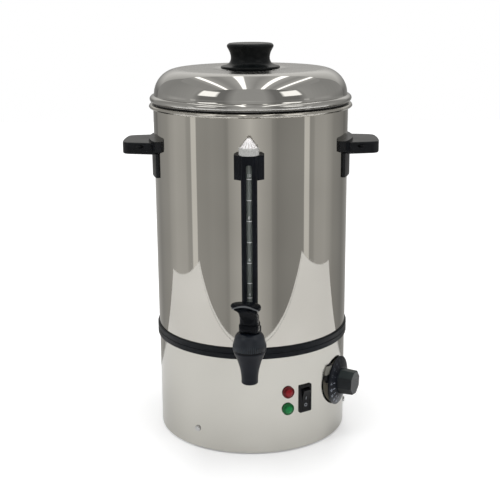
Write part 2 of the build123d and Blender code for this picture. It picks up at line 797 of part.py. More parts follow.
with BuildPart() as gauge_cap:
    cone_low = cap_low + 0.6 * cap_collar_height
    cone_straight = 0.4 * cap_collar_height
    cone_tip_scale = 0.2
    with BuildSketch(Plane.XY.offset(cone_low)):
        with Locations((0, gauge_y)):
            Circle(cap_cone_radius)
    extrude(amount=cone_straight)
    for height, scale in (
        (cone_low + cone_straight, 1.0),
        (cone_low + cone_straight + cap_cone_height, cone_tip_scale),
    ):
        with BuildSketch(Plane.XY.offset(height)):
            with Locations((0, gauge_y)):
                Circle(cap_cone_radius * scale)
                with PolarLocations(cap_cone_radius * scale, cap_flute_count):
                    Circle(cap_cone_radius * scale * cap_flute_depth, mode=Mode.SUBTRACT)
    loft(ruled=True)
    with BuildSketch(Plane.XY.offset(cone_low)):
        with Locations((0, gauge_y)):
            Circle(cap_plug_seat - seam_fit)
    extrude(amount=-(cone_low - cap_low))
    with BuildSketch(Plane.XY.offset(cap_low)):
        with Locations((0, gauge_y)):
            Circle(gauge_bore_radius - running_fit)
    extrude(amount=-cap_plug_length)
    with Locations((0, gauge_y, cone_low + cone_straight + cap_cone_height)):
        Hole(cap_vent_radius, depth=2 * (cap_plug_length + cap_collar_height + cap_cone_height))
save(gauge_cap, "gauge_cap")

# ---------------------------------------------------------------- tap

tap_plane = Plane(origin=(0, tap_y, 0), x_dir=(1, 0, 0), z_dir=(0, -1, 0))
tap_axis = Axis((0, tap_y, 0), (0, 0, 1))
collar_top = body_flange_top + collar_height
shank_start = -(tank_radius - shank_inner_reach)
gauge_base_front = -(tank_radius + shank_washer_thickness + gauge_base_depth)
shank_end = gauge_base_front - 4.0
shank_plane = Plane(origin=(0, shank_start, shank_height), x_dir=(1, 0, 0), z_dir=(0, -1, 0))

with BuildPart() as tap_body:
    with BuildSketch(tap_plane) as spout_outside:
        with BuildLine():
            spout_line = Spline(
                (spout_tip_radius, spout_tip_height + 1.0),
                (spout_mid_radius, spout_mid_height),
                (spout_shoulder_radius, spout_shoulder_height),
                (body_flange_radius, body_flange_low),
            )
            Polyline(
                spout_line @ 1,
                (body_flange_radius, body_flange_top),
                (collar_radius, body_flange_top),
                (collar_radius, collar_top),
                (0, collar_top),
                (0, spout_tip_height),
                (spout_tip_radius - 1.0, spout_tip_height),
                spout_line @ 0,
            )
        make_face()
    revolve(axis=tap_axis)
    # the shank runs through the gauge's block and the tank's wall
    with BuildSketch(shank_plane):
        Circle(shank_radius)
    extrude(amount=shank_start - shank_end)
    # a collar bears on the block, and the neck joins the barrel
    with BuildSketch(shank_plane.offset(shank_start - gauge_base_front)):
        Circle(shank_radius * 1.3)
    extrude(amount=2.5)
    with BuildSketch(Plane(origin=(0, shank_end + 1, tap_neck_height), z_dir=(0, -1, 0))):
        Circle(tap_neck_radius)
    extrude(amount=shank_end - tap_y)
    # chamber, seat and bore
    with BuildSketch(tap_plane):
        with BuildLine():
            seat_outer = spout_bore_radius + seat_ring_wall
            Polyline(
                (0, spout_tip_height - 1),
                (spout_bore_radius, spout_tip_height - 1),
                (spout_bore_radius, seat_top),
                (seat_outer, seat_top),
                (seat_outer, seat_height),
                (chamber_radius, seat_height),
                (chamber_radius, collar_top + 1),
                (0, collar_top + 1),
                close=True,
            )
        make_face()
    revolve(axis=tap_axis, mode=Mode.SUBTRACT)
    # water comes from the tank, and rises to the gauge's glass on its way
    with BuildSketch(Plane(origin=(0, shank_start + 1, tap_water_height), z_dir=(0, -1, 0))):
        Circle(tap_water_radius)
    extrude(amount=shank_start + 1 - tap_y, mode=Mode.SUBTRACT)
    with BuildSketch(Plane.XY.offset(tap_water_height)):
        with Locations((0, gauge_y)):
            Circle(tap_water_radius * 0.65)
    extrude(amount=2 * shank_radius, mode=Mode.SUBTRACT)
save(tap_body, "tap_body")

with BuildPart() as tap_bonnet:
    with BuildSketch(tap_plane) as bonnet_section:
        with BuildLine():
            rim_top = bonnet_low + bonnet_rim_height
            rim_side = Line((bonnet_rim_radius, bonnet_low), (bonnet_rim_radius, rim_top))
            dome = Spline(
                rim_side @ 1,
                (bonnet_shoulder_radius, bonnet_shoulder),
                (bonnet_top_radius, bonnet_top),
                tangents=[(0, 1), (-1, 0.45)],
            )
            Polyline(
                dome @ 1,
                (stem_radius + running_fit, bonnet_top),
                (stem_radius + running_fit, bonnet_spring_seat),
                (chamber_radius, bonnet_spring_seat),
                (chamber_radius, collar_top + moving_gap),
                (collar_radius + close_fit, collar_top + moving_gap),
                (collar_radius + close_fit, bonnet_low),
                rim_side @ 0,
            )
        make_face()
    revolve(axis=tap_axis)
    with BuildSketch(Plane.XY.offset(bonnet_low)):
        with Locations((0, tap_y)):
            with PolarLocations(bonnet_rim_radius, bonnet_flute_count):
                Circle(bonnet_flute_radius)
    extrude(amount=bonnet_shoulder - bonnet_low, mode=Mode.SUBTRACT)
save(tap_bonnet, "tap_bonnet")

# outside: a washer between the tank and the gauge's block; inside: a washer and a nut
with BuildPart() as shank_washers:
    inner_face = tank_inside - 2 * shank_washer_thickness
    with BuildSketch(wall_plane(0, inner_face, shank_height)):
        Circle(shank_washer_radius)
        Circle(shank_radius + close_fit, mode=Mode.SUBTRACT)
    extrude(amount=-base_back - inner_face)
    with BuildSketch(Plane.XY.offset(shank_height - 2 * shank_washer_radius)):
        Circle(tank_radius + seam_fit)
        Circle(tank_inside - seam_fit, mode=Mode.SUBTRACT)
    extrude(amount=4 * shank_washer_radius, mode=Mode.SUBTRACT)
save(shank_washers, "shank_washers")

with BuildPart() as shank_nut:
    with BuildSketch(wall_plane(0, inner_face, shank_height)):
        RegularPolygon(shank_nut_across_flats / 2, 6, major_radius=False)
        Circle(shank_radius + seam_fit, mode=Mode.SUBTRACT)
    extrude(amount=-shank_nut_thickness)
    chamfer(shank_nut.faces().sort_by(Axis.Y)[-1].edges().filter_by(GeomType.LINE), 0.6)
save(shank_nut, "shank_nut")

# The soft cup closes on the seat. The stem's foot is buttoned into it.
cup_low = seat_top + close_fit
cup_high = cup_low + cup_height
stem_low = cup_low + cup_floor
stem_high = lever_pin_height + stem_radius
turn = radians(lever_swivel)
lever_right = Vector(cos(turn), -sin(turn), 0)
lever_forward = Vector(-sin(turn), -cos(turn), 0)
lever_side_plane = Plane(origin=(0, tap_y, 0), x_dir=lever_forward, z_dir=-lever_right)
lever_front_plane = Plane(origin=(0, tap_y, 0), x_dir=lever_right, z_dir=lever_forward)
lever_plan = Plane(origin=(0, tap_y, 0), x_dir=lever_right, z_dir=(0, 0, 1))
with BuildPart() as tap_stem:
    with BuildSketch(Plane.XY.offset(stem_low)):
        with Locations((0, tap_y)):
            Circle(stem_foot_radius)
    extrude(amount=stem_foot_height)
    with BuildSketch(Plane.XY.offset(stem_low)):
        with Locations((0, tap_y)):
            Circle(stem_radius)
    extrude(amount=stem_high - stem_low)
    fillet(tap_stem.faces().sort_by(Axis.Z)[-1].edges(), stem_radius * 0.3)
    with BuildSketch(Plane(origin=(0, tap_y, lever_pin_height), z_dir=lever_right)):
        Circle(lever_pin_radius + running_fit)
    extrude(amount=2 * stem_radius, both=True, mode=Mode.SUBTRACT)
save(tap_stem, "tap_stem")

with BuildPart() as tap_cup:
    with BuildSketch(tap_plane) as cup_section:
        with BuildLine():
            pocket_top = stem_low + stem_foot_height + seam_fit
            Polyline(
                (0, cup_low),
                (cup_radius * 0.85, cup_low),
                (cup_radius, cup_low + cup_floor * 0.6),
                (cup_radius, cup_high),
                (stem_radius + seam_fit, cup_high),
                (stem_radius + seam_fit, pocket_top),
                (stem_foot_radius + seam_fit, pocket_top),
                (stem_foot_radius + seam_fit, stem_low - seam_fit),
                (0, stem_low - seam_fit),
                close=True,
            )
        make_face()
    revolve(axis=tap_axis)
save(tap_cup, "tap_cup")

spring_low = cup_high + spring_wire_radius
spring_high = bonnet_spring_seat - spring_wire_radius - seam_fit
with BuildPart() as tap_spring:
    with BuildLine() as spring_path:
        Helix(
            pitch=(spring_high - spring_low) / spring_turns,
            height=spring_high - spring_low,
            radius=spring_radius,
            center=(0, tap_y, spring_low),
        )
    with BuildSketch(Plane(origin=spring_path.line @ 0, z_dir=spring_path.line % 0)):
        Circle(spring_wire_radius)
    sweep()
save(tap_spring, "tap_spring")

# ---------------------------------------------------------------- lever

with BuildPart() as tap_lever:
    # the head: an oval that widens upwards
    head_low = lever_top - lever_head_height
    flare_low = head_low - lever_head_flare
    with BuildSketch(lever_plan.offset(flare_low)):
        with Locations((0, -lever_head_lean)):
            Ellipse(lever_head_width / 2, lever_head_depth / 2)
    extrude(amount=lever_top - flare_low)
    fillet(tap_lever.faces().sort_by(Axis.Z)[-1].edges(), lever_head_edge)
    with BuildSketch(lever_front_plane) as head_front:
        with BuildLine():
            neck_half = lever_neck_width / 2
            head_half = lever_head_width / 2
            left_flare = Spline(
                (-head_half, head_low), (-neck_half, flare_low), tangents=[(0, -1), (0.6, -0.8)]
            )
            right_flare = Spline(
                (neck_half, flare_low), (head_half, head_low), tangents=[(0.6, 0.8), (0, 1)]
            )
            Line(left_flare @ 1, right_flare @ 0)
            Polyline(
                right_flare @ 1, (head_half, lever_top), (-head_half, lever_top), left_flare @ 0
            )
        make_face()
    extrude(amount=2 * lever_head_lean, mode=Mode.INTERSECT)
    # the neck curves forward from the foot to the head
    with BuildSketch(lever_side_plane):
        with BuildLine():
            neck_low = lever_low + lever_foot_height / 2
            neck_start = lever_low + lever_foot_height
            neck_half_depth = lever_neck_depth / 2
            neck_back = Spline(
                (-neck_half_depth, neck_start),
                (lever_head_lean - lever_head_depth / 2 + 1, head_low + lever_head_height / 2),
                tangents=[(0, 1), (0.8, 0.6)],
            )
            neck_front = Spline(
                (lever_head_lean + 2, head_low),
                (neck_half_depth, neck_start),
                tangents=[(-0.8, -0.6), (0, -1)],
            )
            Line(neck_back @ 1, neck_front @ 0)
            Polyline(
                neck_front @ 1,
                (neck_half_depth, neck_low),
                (-neck_half_depth, neck_low),
                neck_back @ 0,
            )
        make_face()
    extrude(amount=lever_neck_width / 2, both=True)
    # the foot that bears on the bonnet
    with BuildSketch(lever_side_plane) as foot_side:
        with Locations((0, lever_low)):
            Rectangle(
                lever_foot_depth, lever_foot_height, align=(Align.CENTER, Align.MIN)
            )
        fillet(foot_side.vertices().group_by(Axis.Y)[0], lever_foot_edge)
        fillet(foot_side.vertices().group_by(Axis.Y)[-1], lever_foot_edge * 0.5)
    extrude(amount=lever_foot_width / 2, both=True)
    # hollow in the front of the head for the thumb
    scoop_middle = lever_forward * lever_scoop_reach
    with Locations((scoop_middle.X, tap_y + scoop_middle.Y, lever_top - lever_scoop_drop)):
        Sphere(lever_scoop_radius, mode=Mode.SUBTRACT)
    # slot for the stem, and the pin across it
    with BuildSketch(lever_plan.offset(lever_low)):
        Rectangle(2 * (stem_radius + moving_gap), 2 * lever_slot_half_length)
    extrude(amount=stem_high + 4 * moving_gap - lever_low, mode=Mode.SUBTRACT)
    pin_plane = Plane(origin=(0, tap_y, lever_pin_height), z_dir=lever_right)
    with BuildSketch(pin_plane):
        Circle(lever_pin_radius + seam_fit)
    extrude(amount=lever_foot_width, both=True, mode=Mode.SUBTRACT)
save(tap_lever, "tap_lever")

with BuildPart() as tap_pin:
    with BuildSketch(pin_plane):
        Circle(lever_pin_radius)
    extrude(amount=lever_foot_width / 2 - 0.5, both=True)
save(tap_pin, "tap_pin")

# ---------------------------------------------------------------- lid

lid_skin_low = lid_bead_low + lid_bead_depth
lid_corner_radius = lid_top - lid_skin_low - lid_side_straight
lid_ledge_radius = tank_radius + lid_ledge_reach
lid_collar_radius = tank_inside - lid_collar_gap
with BuildPart() as lid:
    with BuildSketch(Plane.XZ) as lid_section:
        with BuildLine() as lid_outside:
            corner_low = lid_top - lid_corner_radius
            corner_in = lid_side_radius - lid_corner_radius
            diagonal = lid_corner_radius * (1 - sin(pi / 4))
            centre_line = Polyline(
                (0, lid_centre - lid_wall),
                (0, lid_centre),
                (knob_flange_radius * 0.8, lid_centre),
            )
            dish = Spline(
                centre_line @ 1,
                (lid_dish_radius + 4, lid_top),
                tangents=[(1, 0), (1, 0)],
            )
            crown = Line(dish @ 1, (corner_in, lid_top))
            shoulder = ThreePointArc(
                crown @ 1,
                (lid_side_radius - diagonal, lid_top - diagonal),
                (lid_side_radius, corner_low),
            )
            bead_reach = lid_side_radius + lid_bead_reach
            bead_wall = Polyline(
                shoulder @ 1,
                (lid_side_radius, lid_skin_low),
                (bead_reach - lid_bead_depth * 0.3, lid_skin_low),
            )
            bead_turn = Spline(
                bead_wall @ 1,
                (bead_reach, lid_skin_low - lid_bead_depth * 0.45),
                (bead_reach - lid_bead_depth * 0.2, lid_bead_low),
                tangents=[(1, 0), (-1, 0)],
            )
            inner_wall = Polyline(
                bead_turn @ 1,
                (lid_ledge_radius, lid_bead_low),
                (lid_ledge_radius, lid_ledge_height),
                (lid_collar_radius, lid_ledge_height),
                (lid_collar_radius, lid_collar_low),
                (lid_collar_radius - lid_wall, lid_collar_low),
                (lid_collar_radius - lid_wall, corner_low),
            )
            inner_corner = lid_collar_radius - lid_wall - corner_in
            inner_shoulder = ThreePointArc(
                inner_wall @ 1,
                (
                    corner_in + inner_corner * sin(pi / 4),
                    corner_low + (lid_corner_radius - lid_wall) * sin(pi / 4),
                ),
                (corner_in, lid_top - lid_wall),
            )
            inner_crown = Line(inner_shoulder @ 1, dish @ 1 - Vector(0, lid_wall, 0))
            inner_dish = Spline(
                inner_crown @ 1,
                centre_line @ 1 - Vector(0, lid_wall, 0),
                tangents=[(-1, 0), (-1, 0)],
            )
            Line(inner_dish @ 1, centre_line @ 0)
        make_face()
    revolve(axis=Axis.Z)
    with BuildSketch(Plane.XY.offset(lid_centre - 2 * lid_wall)):
        Circle(lid_screw_radius + close_fit)
    extrude(amount=4 * lid_wall, mode=Mode.SUBTRACT)
save(lid, "lid")

with BuildPart() as lid_washer:
    with BuildSketch(Plane.XY.offset(lid_centre)):
        Circle(knob_washer_radius)
        Circle(lid_screw_radius + close_fit, mode=Mode.SUBTRACT)
    extrude(amount=knob_washer_thickness)
save(lid_washer, "lid_washer")

with BuildPart() as lid_knob:
    with BuildSketch(Plane.XZ) as knob_section:
        with BuildLine():
            knob_base = Polyline(
                (0, knob_low),
                (knob_flange_radius, knob_low),
                (knob_flange_radius, knob_low + knob_flange_height),
            )
            knob_side = Spline(
                knob_base @ 1,
                (knob_waist_radius * 1.17, knob_low + knob_flange_height + 3.6),
                (knob_waist_radius, knob_low + knob_waist_height),
                (knob_lip_radius, knob_low + knob_lip_height),
                tangents=[(-1, 0.2), (0, 1)],
            )
            knob_edge = Spline(
                knob_side @ 1,
                (knob_lip_radius - knob_edge_radius, knob_low + knob_height - 0.4),
                tangents=[(0, 1), (-1, 0.06)],
            )
            knob_crown = Spline(
                knob_edge @ 1,
                (0, knob_low + knob_height),
                tangents=[(-1, 0.06), (-1, 0)],
            )
            Line(knob_crown @ 1, knob_base @ 0)
        make_face()
    revolve(axis=Axis.Z)
    with BuildSketch(Plane.XY.offset(knob_low)):
        Circle(lid_screw_radius + seam_fit)
    extrude(amount=lid_screw_grip, mode=Mode.SUBTRACT)
save(lid_knob, "lid_knob")

with BuildPart() as lid_screw:
    screw_face = lid_centre - lid_wall
    with BuildSketch(Plane.XY.offset(screw_face)):
        Circle(lid_screw_radius)
    extrude(amount=knob_low + lid_screw_grip - close_fit * 5 - screw_face)
    with BuildSketch(Plane.XY.offset(screw_face)):
        Circle(lid_screw_head_radius)
    extrude(amount=-lid_screw_head_height)
    fillet(lid_screw.faces().sort_by(Axis.Z)[0].edges(), lid_screw_head_height * 0.5)
save(lid_screw, "lid_screw")

# ---------------------------------------------------------------- lamps

with BuildPart() as lamp_red:
    with BuildSketch(wall_plane(red_lamp_angle, skirt_radius + close_fit, red_lamp_height)):
        Circle(lamp_flange_radius)
    extrude(amount=lamp_flange_thickness)
    lens_plane = wall_plane(
        red_lamp_angle, skirt_radius + close_fit + lamp_flange_thickness, red_lamp_height
    )
    lens_radius = 0.86 * lamp_flange_radius
    sphere_radius = (lens_radius**2 + lamp_dome_height**2) / (2 * lamp_dome_height)
    with Locations(lens_plane.offset(lamp_dome_height - sphere_radius)):
        Sphere(sphere_radius)
    split(bisect_by=lens_plane.offset(-lamp_flange_thickness), keep=Keep.TOP)
    with BuildSketch(lens_plane.offset(-lamp_flange_thickness)):
        Circle(lamp_flange_radius)
    extrude(amount=2 * sphere_radius, mode=Mode.INTERSECT)
save(lamp_red, "lamp_red")

with BuildPart() as lamp_green:
    lamp_turn = green_lamp_angle - red_lamp_angle
    moved_lamp = lamp_red.part.rotate(Axis.Z, lamp_turn)
    add(moved_lamp.moved(Location((0, 0, green_lamp_height - red_lamp_height))))
save(lamp_green, "lamp_green")

lamp_places = ((red_lamp_angle, red_lamp_height), (green_lamp_angle, green_lamp_height))
clip_front = sqrt(skirt_inside**2 - lamp_clip_radius**2) - close_fit
with BuildPart() as lamp_bodies:
    for angle, height in lamp_places:
        with BuildSketch(wall_plane(angle, skirt_radius + close_fit, height)):
            Circle(lamp_body_radius)
        extrude(amount=-lamp_body_length)
        for side in (-1, 1):
            tail = wall_plane(angle, skirt_radius + close_fit - lamp_body_length, height)
            with BuildSketch(tail):
                with Locations((side * 0.5 * lamp_body_radius, 0)):
                    Rectangle(0.8, 2.8)
            extrude(amount=-8)
save(lamp_bodies, "lamp_bodies")

with BuildPart() as lamp_clips:
    for angle, height in lamp_places:
        with BuildSketch(wall_plane(angle, clip_front, height)):
            Circle(lamp_clip_radius)
            Circle(lamp_body_radius + seam_fit, mode=Mode.SUBTRACT)
        extrude(amount=-lamp_clip_thickness)
save(lamp_clips, "lamp_clips")

# ---------------------------------------------------------------- switch

bezel_back = skirt_radius + close_fit
pivot_radius = skirt_radius - rocker_pivot_depth
pocket_half_length = rocker_length / 2 + rocker_end_gap
pocket_depth = rocker_pivot_depth + rocker_well
with BuildPart() as switch_housing:
    with BuildSketch(wall_plane(switch_angle, bezel_back, switch_height)):
        RectangleRounded(bezel_width, bezel_length, bezel_corner_radius)
    extrude(amount=bezel_thickness)
    fillet(switch_housing.faces().sort_by_distance(
        wall_plane(switch_angle, 2 * bezel_back, switch_height).origin)[0].edges(), 0.7)
    with BuildSketch(wall_plane(switch_angle, bezel_back, switch_height)):
        Rectangle(switch_body_width, switch_body_length)
    extrude(amount=-switch_body_depth)
    with BuildSketch(wall_plane(switch_angle, bezel_back + 2 * bezel_thickness, switch_height)):
        Rectangle(rocker_width + 2 * rocker_side_gap, 2 * pocket_half_length)
    extrude(amount=-(2 * bezel_thickness + pocket_depth), mode=Mode.SUBTRACT)
    pivot_plane = wall_plane(switch_angle, pivot_radius, switch_height)
    across = Plane(origin=pivot_plane.origin, x_dir=pivot_plane.z_dir, z_dir=pivot_plane.x_dir)
    with BuildSketch(across):
        Circle(rocker_pin_radius + running_fit)
    extrude(amount=bezel_width, both=True, mode=Mode.SUBTRACT)
save(switch_housing, "switch_housing")

with BuildPart() as switch_tabs:
    for rise in (-9.0, 0.0, 9.0):
        tab_plane = wall_plane(switch_angle, bezel_back - switch_body_depth, switch_height + rise)
        with BuildSketch(tab_plane):
            Rectangle(6.3, 0.8)
        extrude(amount=-9)
save(switch_tabs, "switch_tabs")

# The rocker is drawn at rest, with its lower half pressed in.
rocker_turn = radians(rocker_tilt)
rocker_outward = pivot_plane.z_dir * cos(rocker_turn) - pivot_plane.y_dir * sin(rocker_turn)
rocker_plane = Plane(origin=pivot_plane.origin, x_dir=rocker_outward, z_dir=pivot_plane.x_dir)
rocker_face = rocker_pivot_depth + close_fit + bezel_thickness + 0.5
rocker_rise = rocker_length / 2 * sin(radians(rocker_tilt))
with BuildPart() as switch_rocker:
    with BuildSketch(rocker_plane) as rocker_side:
        with BuildLine():
            half = rocker_length / 2
            end_face = rocker_face + rocker_rise
            thumb_face = ThreePointArc((end_face, half), (rocker_face, 0), (end_face, -half))
            Polyline(
                thumb_face @ 1,
                (end_face - rocker_end_thickness, -half),
                (-rocker_hub, -rocker_hub),
                (-rocker_hub, rocker_hub),
                (end_face - rocker_end_thickness, half),
                thumb_face @ 0,
            )
        make_face()
    extrude(amount=rocker_width / 2, both=True)
    with BuildSketch(across):
        Circle(rocker_pin_radius)
    extrude(amount=switch_body_width / 2, both=True)
save(switch_rocker, "switch_rocker")

# ---------------------------------------------------------------- thermostat and its dial

with BuildPart() as thermostat_body:
    body_front = sqrt(skirt_inside**2 - thermostat_radius**2) - 2 * close_fit
    bush_step = 1.5 * thermostat_bush_radius
    step_front = sqrt(skirt_inside**2 - bush_step**2) - close_fit
    with BuildSketch(wall_plane(dial_angle, body_front, dial_height)):
        Circle(thermostat_radius)
    extrude(amount=-thermostat_depth)
    with BuildSketch(wall_plane(dial_angle, body_front, dial_height)):
        Circle(bush_step)
    extrude(amount=step_front - body_front)
    bush_front = skirt_radius + close_fit + thermostat_nut_thickness
    with BuildSketch(wall_plane(dial_angle, body_front, dial_height)):
        Circle(thermostat_bush_radius)
    extrude(amount=bush_front - body_front)
    with Locations(wall_plane(dial_angle, bush_front, dial_height)):
        Hole(shaft_radius + running_fit, depth=bush_front - body_front + thermostat_depth / 2)
    for side in (-1, 1):
        back = wall_plane(dial_angle, body_front - thermostat_depth, dial_height)
        with BuildSketch(back):
            with Locations((side * thermostat_radius / 2, 0)):
                Rectangle(0.8, 6.3)
        extrude(amount=-9)
save(thermostat_body, "thermostat_body")

with BuildPart() as thermostat_nut:
    with BuildSketch(wall_plane(dial_angle, skirt_radius + close_fit, dial_height)):
        RegularPolygon(thermostat_nut_across_flats / 2, 6, major_radius=False)
        Circle(thermostat_bush_radius + seam_fit, mode=Mode.SUBTRACT)
    extrude(amount=thermostat_nut_thickness)
save(thermostat_nut, "thermostat_nut")

with BuildPart() as thermostat_shaft:
    shaft_low = body_front - thermostat_depth / 2 + 1
    with BuildSketch(wall_plane(dial_angle, shaft_low, dial_height)):
        Circle(shaft_radius)
    extrude(amount=dial_front + shaft_grip - shaft_low)
save(thermostat_shaft, "thermostat_shaft")

with BuildPart() as dial_disc:
    with BuildSketch(wall_plane(dial_angle, dial_back, dial_height)):
        Circle(dial_radius)
    extrude(amount=dial_thickness)
    with Locations(wall_plane(dial_angle, dial_back + dial_thickness, dial_height)):
        Cone(
            dial_radius - dial_edge,
            dial_boss_radius,
            dial_rise,
            align=(Align.CENTER, Align.CENTER, Align.MIN),
        )
    with BuildSketch(wall_plane(dial_angle, dial_back, dial_height)):
        Circle(dial_recess_radius)
    extrude(amount=dial_thickness + dial_rise, mode=Mode.SUBTRACT)
save(dial_disc, "dial_disc")

with BuildPart() as dial_knob:
    knob_start = wall_plane(dial_angle, dial_front, dial_height)
    with BuildSketch(knob_start):
        with Locations(Location((0, 0), dial_knob_turn)):
            RegularPolygon(dial_knob_radius, dial_knob_sides)
    extrude(amount=dial_knob_length, taper=dial_knob_taper)
    knob_end = wall_plane(dial_angle, dial_front + dial_knob_length, dial_height)
    fillet(dial_knob.faces().sort_by_distance(knob_end.origin)[0].edges(), 0.8)
    with BuildSketch(knob_start):
        Circle(shaft_radius + seam_fit)
    extrude(amount=shaft_grip + 1, mode=Mode.SUBTRACT)
save(dial_knob, "dial_knob")

# A moulded block on the skirt marks the place that the dial is read at.
with BuildPart() as dial_index:
    index_plane = wall_plane(index_angle, skirt_radius + index_thickness, index_height)
    with BuildSketch(index_plane):
        with BuildLine():
            Polyline(
                (index_half_width, -index_half_height),
                (index_half_width, index_half_height),
                (0, index_half_height),
                (-0.5 * index_half_width, 0.88 * index_half_height),
                (-index_half_width, 0.34 * index_half_height),
                (-index_half_width, -0.34 * index_half_height),
                (-0.5 * index_half_width, -0.88 * index_half_height),
                (0, -index_half_height),
                close=True,
            )
        make_face()
    extrude(amount=-2 * index_thickness)
    chamfer(dial_index.faces().sort_by_distance(
        wall_plane(index_angle, 2 * skirt_radius, index_height).origin)[0].edges(),
        index_thickness * 0.6)
    with BuildSketch(Plane.XY.offset(index_height - 2 * index_half_height)):
        Circle(skirt_radius + seam_fit)
    extrude(amount=4 * index_half_height, mode=Mode.SUBTRACT)
save(dial_index, "dial_index")

# ---------------------------------------------------------------- under the tank

with BuildPart() as heater_plate:
    with BuildSketch(Plane.XY.offset(heater_low)):
        Circle(heater_plate_radius)
    extrude(amount=heater_plate_thickness)
    chamfer(heater_plate.faces().sort_by(Axis.Z)[0].edges(), heater_plate_thickness / 3)
save(heater_plate, "heater_plate")

element_height = heater_low - element_tube_radius - seam_fit
with BuildPart() as heating_element:
    with BuildLine() as element_path:
        ring_arc = CenterArc(
            (0, 0, element_height),
            element_ring_radius,
            -90 + element_opening / 2,
            360 - element_opening,
        )
    with BuildSketch(Plane(origin=ring_arc @ 0, z_dir=ring_arc % 0)):
        Circle(element_tube_radius)
    sweep()
    for point in (ring_arc @ 0, ring_arc @ 1):
        with BuildSketch(Plane(origin=point)):
            Circle(element_tube_radius)
        extrude(amount=-element_leg)
        with BuildSketch(Plane(origin=point)):
            Circle(element_leg_pin_radius)
        extrude(amount=-(element_leg + element_leg_pin))
        with Locations(Location(point)):
            Sphere(element_tube_radius)
save(heating_element, "heating_element")

with BuildPart() as boil_dry_switch:
    with BuildSketch(Plane.XY.offset(heater_low)):
        Circle(boil_dry_radius)
    extrude(amount=-boil_dry_height)
    for side in (-1, 1):
        with BuildSketch(Plane.XY.offset(heater_low - boil_dry_height)):
            with Locations((side * boil_dry_radius * 0.6, 0)):
                Rectangle(0.8, 6.3)
        extrude(amount=-8)
save(boil_dry_switch, "boil_dry_switch")

# The thermostat's bulb lies against the tank's floor, and a thin tube leads down from it.
bulb_face = body_front - 0.75 * thermostat_depth
bulb_height = floor_low - bulb_radius - seam_fit
with BuildPart() as sensor_bulb:
    bulb_plane = wall_plane(dial_angle, bulb_face, bulb_height)
    along = Plane(origin=bulb_plane.origin, x_dir=(0, 0, 1), z_dir=bulb_plane.x_dir)
    with BuildSketch(along.offset(-bulb_length / 2)):
        Circle(bulb_radius)
    extrude(amount=bulb_length)
    drop = bulb_height - dial_height
    reach = bulb_length / 2 + capillary_bend
    with BuildLine(Plane(origin=bulb_plane.origin, x_dir=bulb_plane.x_dir,
                         z_dir=bulb_plane.z_dir)) as capillary_path:
        FilletPolyline(
            (bulb_length / 2 - 1, 0),
            (reach, 0),
            (reach, -drop),
            (thermostat_radius - 0.5, -drop),
            radius=capillary_bend / 2,
        )
    with BuildSketch(Plane(origin=capillary_path.line @ 0, z_dir=capillary_path.line % 0)):
        Circle(capillary_radius)
    sweep()
    with BuildSketch(wall_plane(dial_angle, bulb_face - thermostat_depth, dial_height)):
        Circle(thermostat_radius + seam_fit)
    extrude(amount=2 * thermostat_depth, mode=Mode.SUBTRACT)
save(sensor_bulb, "sensor_bulb")

with BuildPart() as limiter:
    with BuildSketch(Plane.XY.offset(pan_top)):
        with Locations(limiter_place):
            Circle(limiter_radius)
    extrude(amount=limiter_body_height)
    with BuildSketch(Plane.XY.offset(pan_low - limiter_bush_proud)):
        with Locations(limiter_place):
            Circle(limiter_bush_radius)
    extrude(amount=limiter_bush_proud + pan_wall)
    with BuildSketch(Plane.XY.offset(pan_low - limiter_bush_proud)):
        with Locations(limiter_place):
            Circle(reset_button_radius + running_fit)
    extrude(amount=reset_button_length + reset_travel + moving_gap, mode=Mode.SUBTRACT)
    for side in (-1, 1):
        with BuildSketch(Plane.XY.offset(pan_top + limiter_body_height)):
            with Locations((limiter_place[0] + side * limiter_radius / 2, limiter_place[1])):
                Rectangle(0.8, 6.3)
        extrude(amount=8)
save(limiter, "limiter")

with BuildPart() as reset_button:
    with BuildSketch(Plane.XY.offset(pan_low - limiter_bush_proud - reset_button_proud)):
        with Locations(limiter_place):
            Circle(reset_button_radius)
    extrude(amount=reset_button_length)
    fillet(reset_button.faces().sort_by(Axis.Z)[0].edges(), reset_button_proud * 0.5)
save(reset_button, "reset_button")

with BuildPart() as terminal_block:
    block_length, block_width, block_height = terminal_block_size
    with BuildSketch(Plane.XY.offset(pan_top)):
        with Locations(terminal_block_place):
            Rectangle(block_length, block_width)
    extrude(amount=block_height)
    with BuildSketch(Plane.XY.offset(pan_top + block_height)):
        with Locations(terminal_block_place):
            with GridLocations(block_length / terminal_ways, 1, terminal_ways, 1):
                Rectangle(block_length / terminal_ways - 2.4, block_width - 5)
    extrude(amount=-block_height / 2, mode=Mode.SUBTRACT)
save(terminal_block, "terminal_block")

with BuildPart() as terminal_screws:
    with BuildSketch(Plane.XY.offset(pan_top + block_height / 2)):
        with Locations(terminal_block_place):
            with GridLocations(block_length / terminal_ways, 8, terminal_ways, 2):
                Circle(2.6)
    extrude(amount=block_height / 4)
save(terminal_screws, "terminal_screws")

# ---------------------------------------------------------------- appliance inlet

